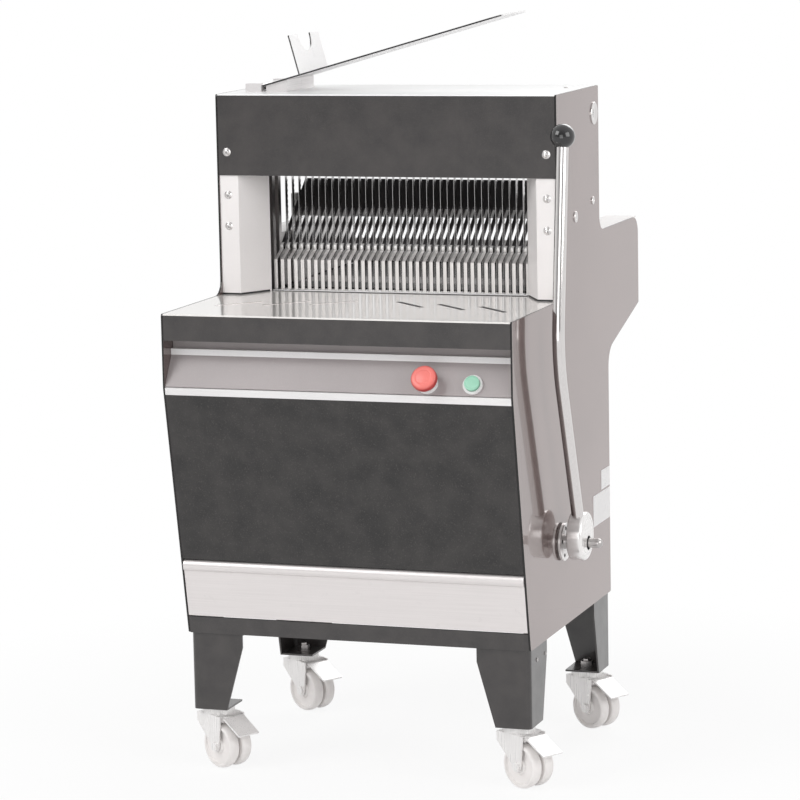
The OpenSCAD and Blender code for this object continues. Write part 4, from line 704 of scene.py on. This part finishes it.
def addSlits(g):
    # boxes turned about z, each shifted by the same step from the one before; the left half is mirrored
    bars, faces = boxes([((g["clear"], g["clear"] - g["width"] / 2, g["top"] - g["thick"]),
                          (g["length"] - g["clear"], g["width"] / 2 - g["clear"], g["top"]))] * g["count"])
    a = math.radians(g["turn"])
    spin = np.array([[math.cos(a), math.sin(a), 0], [-math.sin(a), math.cos(a), 0], [0, 0, 1]])
    index = np.repeat(np.arange(g["count"]), 8)[:, None]
    start = np.array([[g["firstX"], g["firstY"], 0]]) + index * np.array([[g["shiftX"], g["shiftY"], 0]])
    right = bars @ spin + start
    # dark strips paint shade in the right slits, bright strips paint reflection in the left ones
    meshPiece("slitShadeRight", right, faces, "black_plastic", "casing")
    meshPiece("slitReflectionLeft", right * np.array([-1, 1, 1]), faces, "stainless", "casing")


addSlits(slitSet)

# bright lip along the table's rear edge over a dark strip of painted shadow, and dark strips of painted shade round the
# pillars' feet
lipShadeSet = dict(half=224.0, lipFront=59.0, lipBack=66.5, table=770.0, sunk=0.3, lipTop=771.9, seam=1.0, shadowOut=0.7,
               shadeH=3.0, shadeT=0.9, shadeEdge=0.2, outer=291.5, face=32.5, slantIn=31.0, slantBack=54.5, front=2.0)


def addLipAndShade(g):
    # the lip and the painted shadow under it are boxes; each painted shade strip is a bar along a pillar's foot,
    # mirrored for the other one
    low, half, lip, out = g["table"] - g["sunk"], g["half"], g["lipFront"], g["shadowOut"]
    points, faces = boxes([((-half, lip, low), (half, g["lipBack"], g["lipTop"]))])
    meshPiece("tableLip", points, faces, "trim", "casing")
    seam = boxes([((-half, lip - out, low), (half, lip + out, g["table"] + g["seam"]))])
    corner, height = g["outer"] - g["face"], g["table"] + g["shadeH"] / 2 - g["sunk"]
    path = [[g["outer"], g["front"], height], [corner, g["front"], height],
            [corner - g["slantIn"], g["front"] + g["slantBack"], height]]
    footShade, faces = sweptBar(path, 0, g["shadeH"], g["shadeT"], g["shadeEdge"], (0, 0, 1))
    # painted shadow under the lip and painted shade at the pillars' feet
    shadeStrips = together(seam, (footShade, faces), (footShade * np.array([-1, 1, 1]), faces))
    meshPiece("footShadeStrips", *shadeStrips, "black_plastic", "casing")


addLipAndShade(lipShadeSet)

# dark strip of painted shade along the shovel's front edge, in the frame of its plate
shovelSet = dict(x=-240.0, y=55.0, z=1113.0, slope=15.4, start=9.0, end=427.0, thick=2.6, proud=0.2, deep=0.4)


def addShovelEdgeShade(g):
    # a thin box tilted about y by the plate's slope
    h = g["thick"] / 2
    bar, faces = boxes([((g["start"], -g["proud"], -h), (g["end"], g["deep"], h))])
    a = math.radians(g["slope"])
    tilt = np.array([[math.cos(a), 0, math.sin(a)], [0, 1, 0], [-math.sin(a), 0, math.cos(a)]])
    meshPiece("shovelEdgeShade", bar @ tilt + np.array([g["x"], g["y"], g["z"]]), faces, "black_plastic", "shovel")


addShovelEdgeShade(shovelSet)

# blank plates on the right panel, bolts in the legs' sides and in the top cover
smallSet = dict(panelX=295.0, plateT=0.5, plates=(((243, 417), (296, 450)), ((192, 361), (296, 414))), legX=292.0,
                legBolts=((-140, 207), (-92, 207)), topBolts=((262, 172), (-262, 172)), topZ=1105.0, boltR=3.5,
                boltIn=1.0, boltSide=1.0, boltTop=1.6, boltChamfer=0.8, sides=24)


def addSmall(g):
    # plates are boxes; a bolt is a turned disc with a chamfer
    points, faces = boxes([((g["panelX"], *low), (g["panelX"] + g["plateT"], *high)) for low, high in g["plates"]])
    meshPiece("blankPlates", points, faces, "trim", "casing")
    r, top = g["boltR"], g["boltTop"]
    profile = [[0, -g["boltIn"]], [r, -g["boltIn"]], [r, g["boltSide"]], [r - g["boltChamfer"], top], [0, top]]
    bolt, faces = turned(profile, g["sides"])
    surfaces = [(seated(bolt, (side * g["legX"], y, z), (side, 0, 0)), faces)
                for side in (-1, 1) for y, z in g["legBolts"]]
    surfaces += [(seated(bolt, (x, y, g["topZ"]), (0, 0, 1)), faces) for x, y in g["topBolts"]]
    meshPiece("sideBolts", *together(*surfaces), "machined_steel", "casing", smooth=40)


addSmall(smallSet)

# lever hub with rounded rims and a turned groove, its middle off the shaft towards the rod
hubSet = dict(start=315.0, thick=26.0, r=40.0, shift=13.0, outerRound=6.0, innerRound=2.0,
              groove=((9.0, 0.0), (9.6, 0.5), (11.0, 0.5), (11.6, 0.0)), sides=96)


def addHub(g, rod):
    # a disc with arcs for its rims, turned; the groove is distance in from the rim and depth
    t, r, o, i = g["thick"], g["r"], g["outerRound"], g["innerRound"]
    groove = [[r - inside, t - under] for inside, under in g["groove"]]
    points, faces = turned(np.concatenate([[[0, 0]], arc((r - i, i), i, -90, 0, 5), arc((r - o, t - o), o, 0, 90, 10),
                                           groove, [[0, t]]]), g["sides"])
    lean = math.atan2(rod["bendReach"], rod["bendRise"])
    place = (g["start"], -g["shift"] * math.sin(lean), rod["axisZ"] + g["shift"] * math.cos(lean))
    meshPiece("leverHubTurned", seated(points, place, (1, 0, 0)), faces, "aluminium", "lever", "lever_hub", smooth=35)


addHub(hubSet, rodSet)

# flat dark discs on the shaft flange that paint the shade inside its sockets
socketShadeSet = dict(faceX=303.0, r=3.2, t=0.25, ringR=23.0, turns=(20.0, 95.0, 170.0, 245.0, 320.0), sides=20)


def addSocketShade(g, rod):
    # flat discs on a circle round the shaft
    dot, faces = turned([[0, 0.0], [g["r"], 0.0], [g["r"], g["t"]], [0, g["t"]]], g["sides"])
    a = np.radians(g["turns"])
    spots = [(seated(dot, (g["faceX"], y, rod["axisZ"] + z), (1, 0, 0)), faces)
             for y, z in zip(g["ringR"] * np.cos(a), g["ringR"] * np.sin(a))]
    meshPiece("flangeSocketShade", *together(*spots), "black_plastic", "casing")


addSocketShade(socketShadeSet, rodSet)
print("trim set")

# floor and light: mirrored rays meet a darker room in front of the machine
stageSet = dict(ambient=0.48, frontShade=0.6, frontSpan=(0.30, 0.90), floorHalf=14.0, paper=0.88, paperSpan=(0.55, 1.2),
                paperRough=0.9, paperNoise=1.5)


def addWorld(s):
    world = bpy.data.worlds.new("studio")
    bpy.context.scene.world = world
    world.use_nodes = True
    tree = world.node_tree
    w = Sock(tree)
    rays = w.node("ShaderNodeLightPath").socket.node
    camera, glossy, through = (Sock(tree, rays.outputs[k])
                               for k in ("Is Camera Ray", "Is Glossy Ray", "Is Transmission Ray"))
    along = w.node("ShaderNodeSeparateXYZ", None, {0: w.node("ShaderNodeTexCoord")}, 1)
    front = (along * -1).between(*s["frontSpan"])
    plain = w.maths("ADD", camera, through, True)
    mirrored = glossy * (1 - front * s["frontShade"])
    strength = plain + mirrored + (1 - w.maths("ADD", plain, glossy, True)) * s["ambient"]
    back = tree.nodes["Background"]
    back.inputs["Color"].default_value = (1, 1, 1, 1)
    tree.links.new(strength.socket, back.inputs["Strength"])


def addFloor(s):
    u = np.linspace(-1, 1, 3) * s["floorHalf"]
    gx, gy = np.meshgrid(u, u)
    mesh = bpy.data.meshes.new("floor")
    mesh.from_pydata(np.stack([gx, gy, 0 * gx], -1).reshape(-1, 3).tolist(), [], gridFaces(3, 3).tolist())
    floor = bpy.data.objects.new("floor", mesh)
    bpy.context.scene.collection.objects.link(floor)
    f = Finish("floorPaper", Roughness=s["paperRough"])
    f.feed(Base_Color=f.mix((247, 247, 247), (243, 243, 243), f.noise(s["paperNoise"])))
    # camera and mirrored rays see mostly white paper, with a faint shadow left in near the machine
    light = f.at.node("ShaderNodeEmission", None, {"Color": (1, 1, 1, 1), "Strength": 1.0})
    ray = f.at.node("ShaderNodeLightPath")
    ray = f.at.maths("ADD", ray, Sock(f.tree, ray.socket.node.outputs["Is Glossy Ray"]), True)
    reach = f.at.maths("SQRT", f.axis(0) * f.axis(0) + f.axis(1) * f.axis(1))
    look = ray * (s["paper"] + reach.between(*s["paperSpan"]) * (1 - s["paper"]))
    mixed = f.at.node("ShaderNodeMixShader", None, {0: look, 1: Sock(f.tree, f.shader.outputs[0]), 2: light})
    f.tree.links.new(mixed.socket, f.tree.nodes["Material Output"].inputs["Surface"])
    mesh.materials.append(f.material)


bpy.context.scene.view_settings.view_transform = "Standard"
addWorld(stageSet)
addFloor(stageSet)

lamps = dict(
    key=dict(place=(-2.6, -3.2, 3.6), aim=(0.0, 0.0, 0.6), size=2.6, power=92.0),
    side=dict(place=(3.6, -1.6, 2.2), aim=(0.1, 0.0, 0.6), size=2.4, power=53.0),
    back=dict(place=(0.5, 3.4, 3.0), aim=(0.0, 0.0, 0.7), size=2.4, power=46.0),
    front=dict(place=(0.6, -4.4, 1.2), aim=(0.0, 0.0, 0.5), size=2.2, power=30.0),
)
for name, g in lamps.items():
    lamp = bpy.data.lights.new(name, "AREA")
    lamp.size, lamp.energy = g["size"], g["power"]
    ob = bpy.data.objects.new(name, lamp)
    ob.location = g["place"]
    ob.rotation_euler = (Vector(g["aim"]) - Vector(g["place"])).to_track_quat("-Z", "Y").to_euler()
    bpy.context.scene.collection.objects.link(ob)
print("studio lit")
